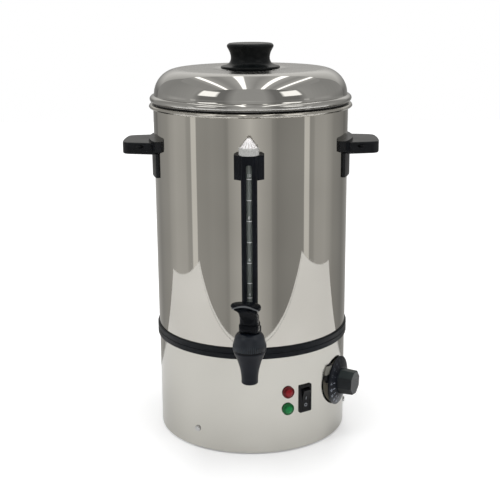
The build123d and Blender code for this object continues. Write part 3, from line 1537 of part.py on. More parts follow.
inlet_face = skirt_radius + inlet_flange_thickness
with BuildPart() as inlet_housing:
    with BuildSketch(wall_plane(inlet_angle, inlet_face, inlet_height)):
        RectangleRounded(inlet_flange_width, inlet_flange_height, inlet_flange_height * 0.2)
    extrude(amount=-2 * inlet_flange_thickness)
    with BuildSketch(Plane.XY.offset(inlet_height - inlet_flange_height)):
        Circle(skirt_radius + seam_fit)
    extrude(amount=2 * inlet_flange_height, mode=Mode.SUBTRACT)
    with BuildSketch(wall_plane(inlet_angle, inlet_face, inlet_height)):
        Rectangle(inlet_body_width, inlet_body_height)
    extrude(amount=-(inlet_flange_thickness + inlet_body_depth))
    with BuildSketch(wall_plane(inlet_angle, inlet_face, inlet_height)) as socket_outline:
        Rectangle(inlet_socket_width, inlet_socket_height)
        chamfer(socket_outline.vertices().group_by(Axis.Y)[-1], inlet_socket_height * 0.3)
    extrude(amount=-inlet_socket_depth, mode=Mode.SUBTRACT)
    with BuildSketch(wall_plane(inlet_angle, inlet_face, inlet_height)):
        with Locations((-inlet_pin_spacing, 0), (0, inlet_earth_rise), (inlet_pin_spacing, 0)):
            Rectangle(inlet_pin_width + 2 * seam_fit, inlet_pin_height + 2 * seam_fit)
    extrude(amount=-2 * inlet_body_depth, mode=Mode.SUBTRACT)
    with Locations(wall_plane(inlet_angle, inlet_face, inlet_height)):
        with GridLocations(inlet_screw_spacing, 1, 2, 1):
            Hole(inlet_screw_radius + seam_fit, depth=3 * inlet_flange_thickness)
save(inlet_housing, "inlet_housing")

with BuildPart() as inlet_pins:
    socket_floor = inlet_face - inlet_socket_depth
    pin_start = inlet_face - inlet_flange_thickness - inlet_body_depth - inlet_pin_tail
    with BuildSketch(wall_plane(inlet_angle, pin_start, inlet_height)):
        with Locations((-inlet_pin_spacing, 0), (0, inlet_earth_rise), (inlet_pin_spacing, 0)):
            Rectangle(inlet_pin_width, inlet_pin_height)
    extrude(amount=socket_floor + inlet_pin_length - pin_start)
save(inlet_pins, "inlet_pins")

with BuildPart() as inlet_screws:
    for side in (-1, 1):
        with BuildSketch(wall_plane(inlet_angle, inlet_face, inlet_height)):
            with Locations((side * inlet_screw_spacing / 2, 0)):
                Circle(inlet_screw_radius)
        extrude(amount=-4 * inlet_flange_thickness)
        with BuildSketch(wall_plane(inlet_angle, inlet_face, inlet_height)):
            with Locations((side * inlet_screw_spacing / 2, 0)):
                Circle(2 * inlet_screw_radius)
        extrude(amount=inlet_screw_radius, taper=15)
save(inlet_screws, "inlet_screws")
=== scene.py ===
# %% [markdown]
# # Hot water urn
# This lesson dresses the CAD model of a ten-litre urn for hot water. The CAD nodes come in as a fixed frame
# that isn't moved. The script gives each node a finish, turns and draws the few pieces whose curves the
# solids only hint at, prints the scales and figures, and builds a small studio round the object.
# Lengths are in metres, the tank's axis is the Z axis, and the tap looks along minus Y.

# %% Imports and frame
import math

import bmesh
import bpy
from mathutils import Matrix, Vector


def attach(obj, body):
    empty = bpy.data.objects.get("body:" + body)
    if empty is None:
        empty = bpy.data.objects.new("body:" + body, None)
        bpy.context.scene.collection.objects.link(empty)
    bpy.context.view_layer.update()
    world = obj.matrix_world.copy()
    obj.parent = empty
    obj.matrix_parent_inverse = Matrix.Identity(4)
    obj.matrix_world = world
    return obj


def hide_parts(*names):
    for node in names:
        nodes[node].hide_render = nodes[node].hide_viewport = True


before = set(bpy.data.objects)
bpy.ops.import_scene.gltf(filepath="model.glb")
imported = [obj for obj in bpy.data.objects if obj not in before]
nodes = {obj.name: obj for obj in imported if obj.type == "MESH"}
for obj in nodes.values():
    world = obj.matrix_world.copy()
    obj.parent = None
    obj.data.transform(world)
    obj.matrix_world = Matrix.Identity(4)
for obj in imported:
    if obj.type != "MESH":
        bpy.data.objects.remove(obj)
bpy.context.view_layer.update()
print("nodes in the frame:", len(nodes))

# %% [markdown]
# ## A shader as an expression
# A finish in Blender is a tree of nodes. It could be drawn by hand in the shader editor, but sums are easier
# to read: mask = 1 - edge * 0.5. So one small class, `Value`, stands for an output socket, and each + - *
# on it adds a Math node. The reflected forms, such as `__rsub__`, let a number stand on the left.

# %% One socket as a value
class Value:
    """One output socket of a shader's tree, on which + - * work."""

    def __init__(self, shader, socket):
        self.shader = shader
        self.socket = socket

    def math(self, operation, *others):
        """A Math node on this value, with numbers or values as its further inputs."""
        return self.shader.node("Math", inputs=dict(enumerate((self, *others))), operation=operation)

    def __add__(self, other):
        return self.math("ADD", other)

    def __sub__(self, other):
        return self.math("SUBTRACT", other)

    def __rsub__(self, other):
        return self * -1.0 + other

    def __mul__(self, other):
        return self.math("MULTIPLY", other)

    __radd__ = __add__
    __rmul__ = __mul__


print("a Value takes + - * with numbers and other values on either side")

# %% [markdown]
# ## One way to add a node
# Every node of a tree could be made with its own few lines, but they would all look alike. So a second class,
# `Shader`, holds the tree, and its `node` method adds every kind: first the node's settings, because they can
# change which sockets there are, and then the numbers or links of its sockets.

# %% A shader's tree
class Shader:
    """A tree of nodes: that of a new material, unless another tree is given."""

    def __init__(self, name, tree=None):
        if tree is None:
            self.material = bpy.data.materials.new(name)
            self.material.use_nodes = True
            tree = self.material.node_tree
        self.tree = tree
        self.bsdf = tree.nodes.get("Principled BSDF")
        self.output = tree.nodes.get("Material Output") or tree.nodes.get("World Output")

    def plug(self, value, slot):
        """Links a value to a socket, or sets a plain number or colour on it."""
        if isinstance(value, Value):
            self.tree.links.new(value.socket, slot)
        else:
            slot.default_value = value

    def node(self, kind, out=0, inputs=None, **settings):
        """Adds a node of any kind and returns one of its outputs."""
        made = self.tree.nodes.new("ShaderNode" + kind)
        for key, value in settings.items():
            setattr(made, key, value)
        for key, value in (inputs or {}).items():
            self.plug(value, made.inputs[key])
        return Value(self, made.outputs[out])

    def set(self, **values):
        """Sets the surface's own sockets: Base_Color=..., Roughness=... and so on."""
        for key, value in values.items():
            self.plug(value, self.bsdf.inputs[key.replace("_", " ")])


print("materials before the first one is made:", len(bpy.data.materials))

# %% [markdown]
# ## Places and patterns
# No real finish is one flat number: polished sheet is a little wavy, a moulding a little mottled. An image
# could carry that, but noise needs no image and has no seams. It is read on Object coordinates, which stay
# with the piece when it moves.

# %% Places and noise
def axes(shader):
    """The three object coordinates, one value each."""
    spot = shader.node("TexCoord", out="Object")
    split = shader.node("SeparateXYZ", inputs={"Vector": spot})
    return [Value(shader, output) for output in split.socket.node.outputs]


def place(shader, scale=(1, 1, 1)):
    """Object coordinates, stretched by a scale."""
    spot = shader.node("TexCoord", out="Object")
    return shader.node("Mapping", inputs={"Vector": spot, "Scale": scale})


def noise(shader, scale, detail=3.0, stretch=(1, 1, 1), rough=0.5):
    """A soft pattern round one half. A stretch draws it out into lines."""
    spot = place(shader, stretch)
    sockets = {"Vector": spot, "Scale": scale, "Detail": detail, "Roughness": rough}
    return shader.node("TexNoise", inputs=sockets)


print("a stretch of (1, 1, 60) draws noise out into level lines")

# %% [markdown]
# ## Ranges
# A socket needs a certain range: a roughness from 0.01 to 0.04, a mask from 0 to 1. Sums could do it, but they
# run on past the ends. Map Range turns a pattern or a height into the range that is wanted and holds it at
# both ends. Two of them make a band: one between two limits, nothing outside.

# %% Ranges and bands
def spread(value, low, high, to_low, to_high):
    """Maps one range of a value to another, without overshoot."""
    sockets = {"Value": value, "From Min": low, "From Max": high, "To Min": to_low, "To Max": to_high}
    return value.shader.node("MapRange", inputs=sockets)


def band(value, low, high, soft):
    """One between two limits and nothing outside them, with soft edges."""
    return spread(value, low - soft, low, 0, 1) * spread(value, high, high + soft, 1, 0)


print("a band takes two Map Range nodes and one Math node")

# %% [markdown]
# ## Colours and bumps
# A colour has three channels, and a Math node would turn it grey, so colours go through a Mix node. They are
# written as a screen shows them, from 0 to 255, and turned into the linear light that nodes use. A bump tilts
# the normal by a pattern of heights, which is enough for grain that is finer than the mesh.

# %% Colours and bumps
def blend(factor, first, second):
    """A colour between two others, by a factor from 0 to 1."""
    return factor.shader.node("Mix", out=2, inputs={0: factor, 6: first, 7: second}, data_type="RGBA")


def bump(height, strength, distance):
    """A normal that is tilted by a pattern of heights."""
    sockets = {"Height": height, "Strength": strength, "Distance": distance}
    return height.shader.node("Bump", inputs=sockets)


def rgb(red, green, blue):
    """A colour as it is seen on a screen, 0 to 255, turned into linear light."""
    return tuple(
        (c / 255 / 12.92) if c <= 10 else ((c / 255 + 0.055) / 1.055) ** 2.4
        for c in (red, green, blue)
    ) + (1.0,)


def times(color, share):
    """The same colour, lighter or darker."""
    return tuple(share * c for c in color[:3]) + (1.0,)


print("a screen's middle grey is", round(rgb(128, 128, 128)[0], 3), "in linear light")

# %% [markdown]
# ## Polished steel
# The tank is rolled from bright stainless sheet, and the skirt below it is a little duller. A mirror could be
# made with zero roughness, but then it looks like a computer's chrome. Real sheet has fine lines from the
# polishing wheel, which run round the wall, and a slow waviness. So one noise, squeezed along Z into lines,
# moves the roughness, a second one tints the metal, and a third bends the reflections through a bump.

# %% Polished steel
def steel(name, dull, bright, rough, wave):
    """Sheet between two tints and two roughnesses, with waves of some strength."""
    shader = Shader(name)
    lines = noise(shader, 90, 4, stretch=(1, 1, 60), rough=0.6)
    smears = noise(shader, 9, 2)
    sheet = noise(shader, 14, 1)
    shader.set(
        Base_Color=blend(spread(smears, 0.35, 0.65, 0, 1), dull, bright),
        Metallic=1.0,
        Roughness=spread(lines, 0.3, 0.7, rough[0], rough[1]),
        Normal=bump(sheet * 0.9 + lines * 0.012, wave, 0.0008),
    )
    return shader.material


tank_steel = steel("tank_steel", rgb(193, 190, 183), rgb(200, 197, 190), (0.012, 0.035), 0.12)
skirt_steel = steel("skirt_steel", rgb(196, 194, 187), rgb(202, 200, 193), (0.1, 0.17), 0.3)
print("polished:", tank_steel.name, "and", skirt_steel.name)

# %% [markdown]
# ## The lid's steel
# The lid is as bright as the tank on its side and brushed on its crown, and shade is painted near black in the
# narrow groove where it sits on the tank's rim. Three materials on three sets of faces would do, but they
# would meet in hard lines. One material that asks how high a point lies can fade from one finish to the next.

# %% The lid's steel
CROWN_LOW, CROWN_HIGH = 0.4566, 0.4580    # the polish gives way to brushing between these heights
GROOVE_LOW, GROOVE_HIGH = 0.4166, 0.4184  # the groove over the tank's rim, where shade is painted


def lid_metal():
    shader = Shader("lid_steel")
    along_z = axes(shader)[2]
    brushed = noise(shader, 60, 4, stretch=(0.6, 14, 1), rough=0.6)
    sheet = noise(shader, 11, 1)
    crown = spread(along_z, CROWN_LOW, CROWN_HIGH, 0, 1)
    # Painted shade: where this falls to 0, in the groove, the colour and the metal go near black.
    unshaded = 1.0 - band(along_z, GROOVE_LOW, GROOVE_HIGH, 0.0006)
    tint = blend(brushed, rgb(190, 189, 186), rgb(201, 200, 197))
    shader.set(
        Base_Color=blend(unshaded, rgb(8, 7, 6), tint),
        Metallic=unshaded,
        Roughness=spread(brushed, 0.3, 0.7, 0.02, 0.05) + crown * 0.2,
        Specular_IOR_Level=0.1,
        Normal=bump(sheet * 0.8 + brushed * (crown * 0.06), 0.12, 0.0008),
    )
    return shader.material


lid_steel = lid_metal()
print("the lid's groove is", round((GROOVE_HIGH - GROOVE_LOW) * 1000, 1), "mm high")

# %% [markdown]
# ## Screws, plate and the hidden metals
# Screws, the zinc plated pan, the cast heater, the element's sheath and the brass tabs are small or hidden.
# Each could have a finish of its own, but at their size a slightly spotted metal is what the eye reads. One
# function makes them all, and only the colour, the roughness and the size of the grain change.

# %% Plain metals
def plain_metal(name, color, rough, grain=220, strength=0.2):
    shader = Shader(name)
    spots = noise(shader, grain, 4, rough=0.6)
    shader.set(
        Base_Color=blend(spots, color, times(color, 0.82)),
        Metallic=1.0,
        Roughness=spread(spots, 0.3, 0.7, rough * 0.8, rough * 1.25),
        Normal=bump(spots, strength, 0.0002),
    )
    return shader.material


fastener_steel = plain_metal("fastener_steel", rgb(200, 200, 200), 0.25)
zinc_steel = plain_metal("zinc_steel", rgb(176, 180, 182), 0.38, 60)
aluminium = plain_metal("cast_aluminium", rgb(196, 197, 198), 0.5, 400, 0.5)
sheath_steel = plain_metal("sheath_steel", rgb(110, 104, 98), 0.45)
copper = plain_metal("copper", rgb(200, 130, 96), 0.3)
brass = plain_metal("brass", rgb(206, 176, 108), 0.28)
plain = (fastener_steel, zinc_steel, aluminium, sheath_steel, copper, brass)
print("plain metals:", ", ".join(metal.name for metal in plain))

# %% [markdown]
# ## Black mouldings
# The ring, handles, gauge rail, tap and switch are moulded in black plastic. Pure black with a sharp gleam
# would look like wet paint. The mould's surface leaves a very fine grain, and handling leaves paler patches.
# So the colour is never quite zero, the gleam is kept low, and a fine bump breaks up the highlights. Parts
# that differ in gloss on the real urn get their own name here.

# %% Black mouldings
def moulding(name, color, rough, grain=0.25, grain_scale=1400, gleam=0.16):
    shader = Shader(name)
    fine = noise(shader, grain_scale, 2)
    broad = noise(shader, 35, 3)
    paler = tuple(min(1.0, c * 1.35 + 0.002) for c in color[:3]) + (1.0,)
    shader.set(
        Base_Color=blend(spread(broad, 0.4, 0.7, 0, 1), color, paler),
        Roughness=spread(broad, 0.3, 0.7, rough * 0.88, rough * 1.14),
        Normal=bump(fine, grain, 0.00008),
        Specular_IOR_Level=gleam,
    )
    return shader.material


satin_black = moulding("satin_black", rgb(9, 12, 18), 0.4, gleam=0.12)
ring_black = moulding("ring_black", rgb(8, 12, 17), 0.34)
handle_black = moulding("handle_black", rgb(12, 14, 18), 0.3, gleam=0.25)
gloss_black = moulding("gloss_black", rgb(12, 12, 14), 0.2, grain=0.08)
knob_black = moulding("knob_black", rgb(9, 12, 13), 0.3, grain=0.12)
print("blacks: satin, ring, handle, gloss and knob")

# %% [markdown]
# ## A second shade on part of a moulding
# Worn rims, flutes and shadowed gaps are a different shade of the same plastic. They could be separate
# materials on chosen faces, but these pieces come from CAD and their faces are long thin triangles. So a
# helper takes a finished material and turns its colour towards a shade, by a factor that is worked out from
# the place alone: where a point lies decides how it is coloured.

# %% Shade by place
def shade_by(material, factor_of, shade):
    """Turns a material's colour towards a shade, by a factor worked out from the place."""
    shader = Shader(material.name, material.node_tree)
    slot = shader.bsdf.inputs["Base Color"]
    before = Value(shader, slot.links[0].from_socket)
    shader.plug(blend(factor_of(shader), before, shade), slot)
    print(material.name, "is shaded by", factor_of.__name__)


# %% [markdown]
# ## The tap's plastics
# On the real tap the lever is glossy, and light catches the lip between its scooped hollow and the outside of
# its head; here that light is a painted highlight, a paler colour on the lip. The hollow is part of a ball, so
# the lip lies at one distance from the ball's middle, and only near the head's top: that is all the mask has
# to ask. The coordinates are first turned by the angle at which the lever stands.

# %% The lever's lip
TAP_Y = -0.172                   # the tap's upright axis
LEVER_LOW = 0.1765               # the underside of the lever's foot
LEVER_SWIVEL = math.radians(12)  # the lever is turned to the left
HOLLOW_R = 0.0200                # the lever's hollow: its radius, and the place of its middle
HOLLOW_OUT = 0.0263
HOLLOW_UP = 0.0168
HOLLOW_WIDE = 0.93               # under 1 the hollow is wider than high
LIP = (HOLLOW_R + 0.0006, HOLLOW_R + 0.0018)
LIP_FADE = (LEVER_LOW + 0.026, LEVER_LOW + 0.029)  # the painted highlight on the lip shows over these heights


def lever_lip(shader):
    along_x, along_y, along_z = axes(shader)
    along_y = along_y - TAP_Y
    side = (along_x * math.cos(LEVER_SWIVEL) - along_y * math.sin(LEVER_SWIVEL)) * HOLLOW_WIDE
    front = along_x * -math.sin(LEVER_SWIVEL) - along_y * math.cos(LEVER_SWIVEL) - HOLLOW_OUT
    up = along_z - (LEVER_LOW + HOLLOW_UP)
    away = (side * side + front * front + up * up).math("SQRT")
    return band(away, *LIP, 0.0004) * spread(along_z, *LIP_FADE, 0, 1)


lever_black = moulding("lever_black", rgb(7, 9, 13), 0.2, grain=0.1, grain_scale=700, gleam=0.1)
# A painted highlight: the lip's colour is turned paler.
shade_by(lever_black, lever_lip, rgb(84, 86, 88))

# %% [markdown]
# The bonnet that screws down on the tap has a band of fine flutes for the fingers, and a dark gap shows where
# it meets the body; the gap's shade is painted. The flutes are cut in the solid, but they are finer than a
# render can resolve. So their band is painted paler, a painted highlight, and a sine of the angle round the
# tap paints the shade between them, without any pattern drawn by hand.

# %% The tap's bonnet and body
FLUTES = 54
GRIP_LOW, GRIP_HIGH = 0.1572, 0.1638  # the fluted band of the bonnet, painted paler as a highlight
GAP_LOW, GAP_HIGH = 0.1552, 0.1568    # the gap between bonnet and body, where shade is painted


def bonnet_grip(shader):
    return band(axes(shader)[2], GRIP_LOW, GRIP_HIGH, 0.0006)


def bonnet_flutes(shader):
    along_x, along_y, _ = axes(shader)
    around = along_x.math("ARCTAN2", along_y - TAP_Y)
    waves = spread((around * FLUTES).math("SINE"), -0.2, 0.4, 0, 1)
    return waves * bonnet_grip(shader)


def collar_gap(shader):
    return band(axes(shader)[2], GAP_LOW, GAP_HIGH, 0.0001)


bonnet_black = moulding("bonnet_black", rgb(19, 24, 31), 0.3, gleam=0.4)
# Painted highlight on the fluted band, then painted shade between the flutes.
shade_by(bonnet_black, bonnet_grip, rgb(40, 47, 55))
shade_by(bonnet_black, bonnet_flutes, rgb(2, 3, 4))
tap_black = moulding("tap_black", rgb(13, 16, 23), 0.3, gleam=0.16)
# Painted shade in the gap between bonnet and body.
shade_by(tap_black, collar_gap, rgb(1, 1, 1))

# %% [markdown]
# ## The dial's plastics
# The thermostat's dial is a black disc with a pale plate behind it, which is what the steel skirt mirrors.
# The lower edge has a painted reflection of the white table, the knob on it is fluted and has a painted
# highlight near its top, and a grey block beside it marks the setting, with a painted reflection on its face.
# Again the place decides: distance from the tank's axis tells the back from the front, and the height tells
# the top from the foot.

# %% The dial's plastics
DIAL_ANGLE = math.radians(64.0)  # the dial's place round the tank, from the front
DIAL_Z = 0.071
DIAL_RIM = 0.1224                # distance of the dial's rim from the tank's axis
PLATE_R = 0.0280                 # radius of the pale plate behind it
FOOT_FADE = (0.043, 0.058)       # heights between which the painted reflection at the dial's foot fades
KNOB_FADE = (0.0790, 0.0806)     # heights between which the knob's painted highlight grows
INDEX_FACE = (0.0870, 0.0972)    # the face of the grey block, where a reflection is painted


def dial_back(shader):
    along_x, along_y, along_z = axes(shader)
    reach = along_x * math.sin(DIAL_ANGLE) - along_y * math.cos(DIAL_ANGLE)
    across = along_x * math.cos(DIAL_ANGLE) + along_y * math.sin(DIAL_ANGLE)
    rise = along_z - DIAL_Z
    radius = (across * across + rise * rise).math("SQRT")
    behind = spread(reach, DIAL_RIM - 0.0014, DIAL_RIM - 0.0013, 1, 0)
    return behind * spread(radius, PLATE_R, PLATE_R + 0.0004, 1, 0)


def dial_foot(shader):
    return spread(axes(shader)[2], *FOOT_FADE, 1, 0)


def knob_top(shader):
    return spread(axes(shader)[2], *KNOB_FADE, 0, 1)


def index_face(shader):
    return band(axes(shader)[2], *INDEX_FACE, 0.0006)


dial_black = moulding("dial_black", rgb(14, 17, 23), 0.35, grain=0.3, gleam=0.12)
# Painted reflection: the dial's foot is turned paler, as the white table shows in it.
shade_by(dial_black, dial_foot, rgb(92, 93, 96))
shade_by(dial_black, dial_back, rgb(236, 234, 228))
knob_fluted = moulding("knob_fluted", rgb(18, 22, 25), 0.3, gleam=0.25)
# Painted highlight: the knob's upper part is turned paler.
shade_by(knob_fluted, knob_top, rgb(40, 47, 48))
index_grey = moulding("index_grey", rgb(16, 17, 19), 0.4)
# Painted reflection: a paler band on the block's face.
shade_by(index_grey, index_face, rgb(120, 119, 112))

# %% [markdown]
# ## Rubber, silicone and the hidden plastics
# The feet are soft rubber, the seals pale silicone, and the switches under the base brown phenolic. They
# could be left plain, but a lifted or turned model shows them. The moulding's function suits them too: a
# rough surface with a strong grain reads as rubber, a smooth pale one as silicone.

# %% Rubber and silicone
rubber_black = moulding("rubber_black", rgb(22, 22, 22), 0.75, grain=0.5, grain_scale=900)
silicone = moulding("silicone", rgb(205, 200, 192), 0.5)
phenolic = moulding("phenolic", rgb(70, 52, 40), 0.45)
button_red = moulding("button_red", rgb(170, 24, 24), 0.35)
print("soft and hidden:", rubber_black.name, silicone.name, phenolic.name, button_red.name)

# %% [markdown]
# ## The gauge's glass
# A glass tube shows the water's level. Full transmission would be right for clean glass in the open, but this
# tube stands in a black channel, where in the real urn light from the tank shines through it. So only half of
# the light passes through, and the rest comes from a pale grey surface: painted light in place of that light,
# which keeps the tube visible against the black.

# %% Glass and clear plastic
def see_through(name, color, rough, weight, ior=1.49, grain=0.1):
    shader = Shader(name)
    speck = noise(shader, 300, 3)
    shader.set(
        Base_Color=blend(speck, color, times(color, 0.86)),
        Roughness=spread(speck, 0.3, 0.7, rough * 0.8, rough * 1.2),
        Transmission_Weight=weight,
        IOR=ior,
        Normal=bump(speck, grain, 0.0001),
    )
    return shader.material


# Painted light: the tube's pale grey colour stands for light that comes through it from behind.
tube_glass = see_through("tube_glass", rgb(172, 180, 175), 0.12, 0.5, 1.5, 0.02)
collar_grey = see_through("collar_grey", rgb(206, 206, 203), 0.3, 0.25)
print("see-through:", tube_glass.name, "and", collar_grey.name)

# %% [markdown]
# The tube's cap is a small ribbed cone of clear plastic, so full of reflections that it looks nearly white.
# Rendering those by tracing rays through the ribs takes long and stays noisy. A pale colour whose ribs come
# from the angle round the tube gives the same sparkle. The ribs meet at the tip, where they would only make
# a knot of dark specks, so their depth fades out there.

# %% The gauge's cap
GAUGE_Y = -0.132                      # the gauge's upright axis
RIB_WAVES = 7.0                       # half the number of ribs round the cone
TIP_LOW, TIP_HIGH = 0.3840, 0.3880    # the ribs fade out between these heights


def ribbed_clear():
    shader = Shader("cap_clear")
    along_x, along_y, along_z = axes(shader)
    around = along_x.math("ARCTAN2", along_y - GAUGE_Y)
    ribs = (around * RIB_WAVES).math("SINE").math("ABSOLUTE")
    shader.set(
        Base_Color=blend(ribs, rgb(226, 219, 216), rgb(255, 255, 255)),
        Roughness=spread(ribs, 0, 1, 0.1, 0.2),
        Transmission_Weight=0.04,
        Normal=bump(ribs * spread(along_z, TIP_LOW, TIP_HIGH, 1, 0.1), 0.9, 0.0014),
    )
    return shader.material


cap_clear = ribbed_clear()
print("the cap has", int(2 * RIB_WAVES), "ribs")

# %% [markdown]
# ## Pilot lamps
# A red and a green lens tell that the urn is heating or keeping warm. Inside, the real lens is a field of tiny
# prisms. They could be modelled, but each is a fraction of a millimetre. Voronoi cells in the colour and in
# the bump give the facets, a darker ring shows where the lens is thick, and a faint glow of its own colour
# stands for the light that the prisms gather.

# %% Pilot lamps
RING_INNER, RING_OUTER = 0.0041, 0.0050  # radii between which the lens darkens


def lamp_lens(name, color, glow, angle, height):
    """A lens at a direction in degrees round the tank and at a height."""
    shader = Shader(name)
    along_x, along_y, along_z = axes(shader)
    across = along_x * math.cos(math.radians(angle)) + along_y * math.sin(math.radians(angle))
    rise = along_z - height
    ring = spread((across * across + rise * rise).math("SQRT"), RING_INNER, RING_OUTER, 0, 0.85)
    cells = shader.node("TexVoronoi", inputs={"Vector": place(shader), "Scale": 900.0}, feature="F1")
    facets = blend(spread(cells, 0.1, 0.7, 0, 1), color, times(color, 0.55))
    shader.set(
        Base_Color=blend(ring, facets, times(color, 0.22)),
        Roughness=0.16,
        Transmission_Weight=0.1,
        Specular_IOR_Level=0.25,
        Emission_Color=glow,
        Emission_Strength=0.08,
        Normal=bump(cells, 0.35, 0.0003),
    )
    return shader.material


red_lens = lamp_lens("red_lens", rgb(150, 14, 28), rgb(110, 8, 16), 22.2, 0.0781)
green_lens = lamp_lens("green_lens", rgb(10, 144, 72), rgb(6, 100, 44), 22.0, 0.0564)
print("lenses:", red_lens.name, "and", green_lens.name)

# %% [markdown]
# ## Printing ink
# The gauge's marks are white, those of the switch grey, and the dial's figures pale blue-grey with a darker
# top half, where they turn away from the light. Ink is matt and slightly worn. It could be mixed into the
# material of the part that carries it, but that would need an image as a mask. Here the marks become pieces of
# their own, so the ink is simply their material.

# %% Printing ink
INK_FADE = (0.0735, 0.0765)  # heights between which the dial's figures grow darker, a painted shade


def dial_top(shader):
    return spread(axes(shader)[2], *INK_FADE, 0, 1)


def paint(name, color):
    shader = Shader(name)
    wear = noise(shader, 1800, 3)
    shader.set(Base_Color=blend(spread(wear, 0.45, 0.7, 0, 1), color, times(color, 0.8)), Roughness=0.5)
    return shader.material


mark_white = paint("mark_white", rgb(250, 251, 250))
mark_grey = paint("mark_grey", rgb(168, 172, 178))
mark_dial = paint("mark_dial", rgb(190, 196, 210))
# Painted shade: the figures' top half is turned darker, where they face away from the light.
shade_by(mark_dial, dial_top, rgb(62, 65, 71))

# %% [markdown]
# ## Dressing the nodes
# The urn has 58 nodes, and every one gets a finish, also those that only show when the lid is off or the base
# is open. The materials could be set one by one, but a table of finish and nodes shows at a glance which parts
# of the real urn are made of the same stuff.

# %% Dress the nodes
dress = {
    tank_steel: ["tank", "tank_floor"],
    skirt_steel: ["base_skirt"],
    lid_steel: ["lid"],
    ring_black: ["seam_ring"],
    handle_black: ["handle_left", "handle_right"],
    satin_black: ["gauge_base", "gauge_rail", "gauge_bracket", "lid_washer", "lamp_bodies"],
    tap_black: ["tap_body"],
    bonnet_black: ["tap_bonnet"],
    index_grey: ["dial_index"],
    lever_black: ["tap_lever"],
    knob_black: ["lid_knob"],
    dial_black: ["dial_disc"],
    knob_fluted: ["dial_knob"],
    gloss_black: ["switch_housing", "switch_rocker", "inlet_housing"],
    rubber_black: ["feet"],
    silicone: ["handle_seals", "gauge_seal", "gauge_screw_seal", "tap_cup", "shank_washers"],
    tube_glass: ["gauge_tube"],
    cap_clear: ["gauge_cap"],
    collar_grey: ["gauge_cap_collar"],
    red_lens: ["lamp_red"],
    green_lens: ["lamp_green"],
    fastener_steel: [
        "skirt_screws", "handle_screws", "gauge_screw", "gauge_nut", "tap_pin", "tap_stem",
        "tap_spring", "shank_nut", "lid_screw", "inlet_screws",
    ],
    zinc_steel: ["base_pan", "lamp_clips", "thermostat_nut", "thermostat_shaft"],
    aluminium: ["heater_plate"],
    sheath_steel: ["heating_element"],
    phenolic: ["boil_dry_switch", "thermostat_body", "limiter", "terminal_block"],
    copper: ["sensor_bulb"],
    brass: ["switch_tabs", "terminal_screws", "inlet_pins"],
    button_red: ["reset_button"],
}
for material, names in dress.items():
    for name in names:
        for slot in nodes[name].material_slots:
            slot.material = material
print("dressed nodes:", sum(len(names) for names in dress.values()), "of", len(nodes))

# %% [markdown]
# ## Keeping a new piece
# A new piece has to say which moving body carries it, so that it follows the lid or the lever in every pose,
# and what kind of surface it is. The object itself stays at the origin: its place is in its mesh, as it is
# for the CAD nodes, so that patterns on Object coordinates don't slide.

# %% Keep a piece
def keep(name, mesh, material, body):
    """Makes a piece of a mesh: its object, its material and the body that it rides on."""
    mesh.materials.clear()
    mesh.materials.append(material)
    piece = bpy.data.objects.new(name, mesh)
    bpy.context.collection.objects.link(piece)
    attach(piece, body)
    print(name, "has", len(mesh.polygons), "faces and rides on", body)
    return piece


# %% [markdown]
# ## Closed and smooth
# A spin or an extrusion can leave a shell inside out, and then glass and bumps go wrong, so the normals are
# worked out again once the shell is closed. Faces are shaded smooth, as metal and plastic are. Shading every
# edge smooth would smear the light over real corners, so edges that bend by more than 35 degrees stay sharp.

# %% Finish a shell
def finished(name, built, crease=35):
    """Turns a closed bmesh into a mesh with outward faces, smooth but for its sharp edges."""
    bmesh.ops.recalc_face_normals(built, faces=built.faces)
    for face in built.faces:
        face.smooth = True
    for edge in built.edges:
        if len(edge.link_faces) == 2 and edge.calc_face_angle(0) > math.radians(crease):
            edge.smooth = False
    mesh = bpy.data.meshes.new(name)
    built.to_mesh(mesh)
    built.free()
    print(name, "is closed with", len(mesh.vertices), "points")
    return mesh


# %% [markdown]
# ## Half outlines
# A turned piece is known by half of its section. Drawn with straight lines only, a bead looks like a stack of
# cones. `arc` gives the points of a part of an ellipse, and `smooth` a curve that runs through every point
# that it is given, which suits a waist that no circle fits.

# %% Arcs and smooth curves
def arc(middle, reach, start, end, count):
    """Points of an ellipse's arc in a half outline, from one angle in degrees to another."""
    points = []
    for step in range(count + 1):
        angle = math.radians(start + (end - start) * step / count)
        points.append((middle[0] + reach[0] * math.cos(angle), middle[1] + reach[1] * math.sin(angle)))
    return points


def smooth(points, count=5):
    """A curve through all the points, rounded between them."""
    ends = [points[0], *points, points[-1]]
    curve = []
    for a, b, c, d in zip(ends, ends[1:], ends[2:], ends[3:]):
        for step in range(count):
            t = step / count
            curve.append(tuple(
                q + 0.5 * t * (r - p + t * (2 * p - 5 * q + 4 * r - s + t * (3 * (q - r) + s - p)))
                for p, q, r, s in zip(a, b, c, d)
            ))
    return curve + [points[-1]]


print("a smooth curve through 3 points has", len(smooth([(0, 0), (1, 1), (2, 0)])), "points")

# %% [markdown]
# ## Turning on the lathe
# The lid is spun from a disc of sheet on a lathe, and Blender's spin does the same: it takes the outline
# round the axis in small steps. The Screw modifier could do it too, but a spin in the mesh gives a closed
# shell at once. With use_merge the last step closes on the first, and doubles are merged at the axis.

# %% Turn an outline
def turned(name, outline, steps=192):
    """Spins a half outline, in radius and height, round the tank's axis."""
    built = bmesh.new()
    points = [built.verts.new((radius, 0, height)) for radius, height in outline]
    ends = [] if outline[0][0] < 1e-6 else [(points[-1], points[0])]
    lines = [built.edges.new(pair) for pair in [*zip(points, points[1:]), *ends]]
    bmesh.ops.spin(
        built, geom=points + lines, cent=(0, 0, 0), axis=(0, 0, 1),
        angle=2 * math.pi, steps=steps, use_merge=True,
    )
    bmesh.ops.remove_doubles(built, verts=built.verts, dist=1e-7)
    return finished(name, built)


print("one step of the lathe turns", 360 / 192, "degrees")

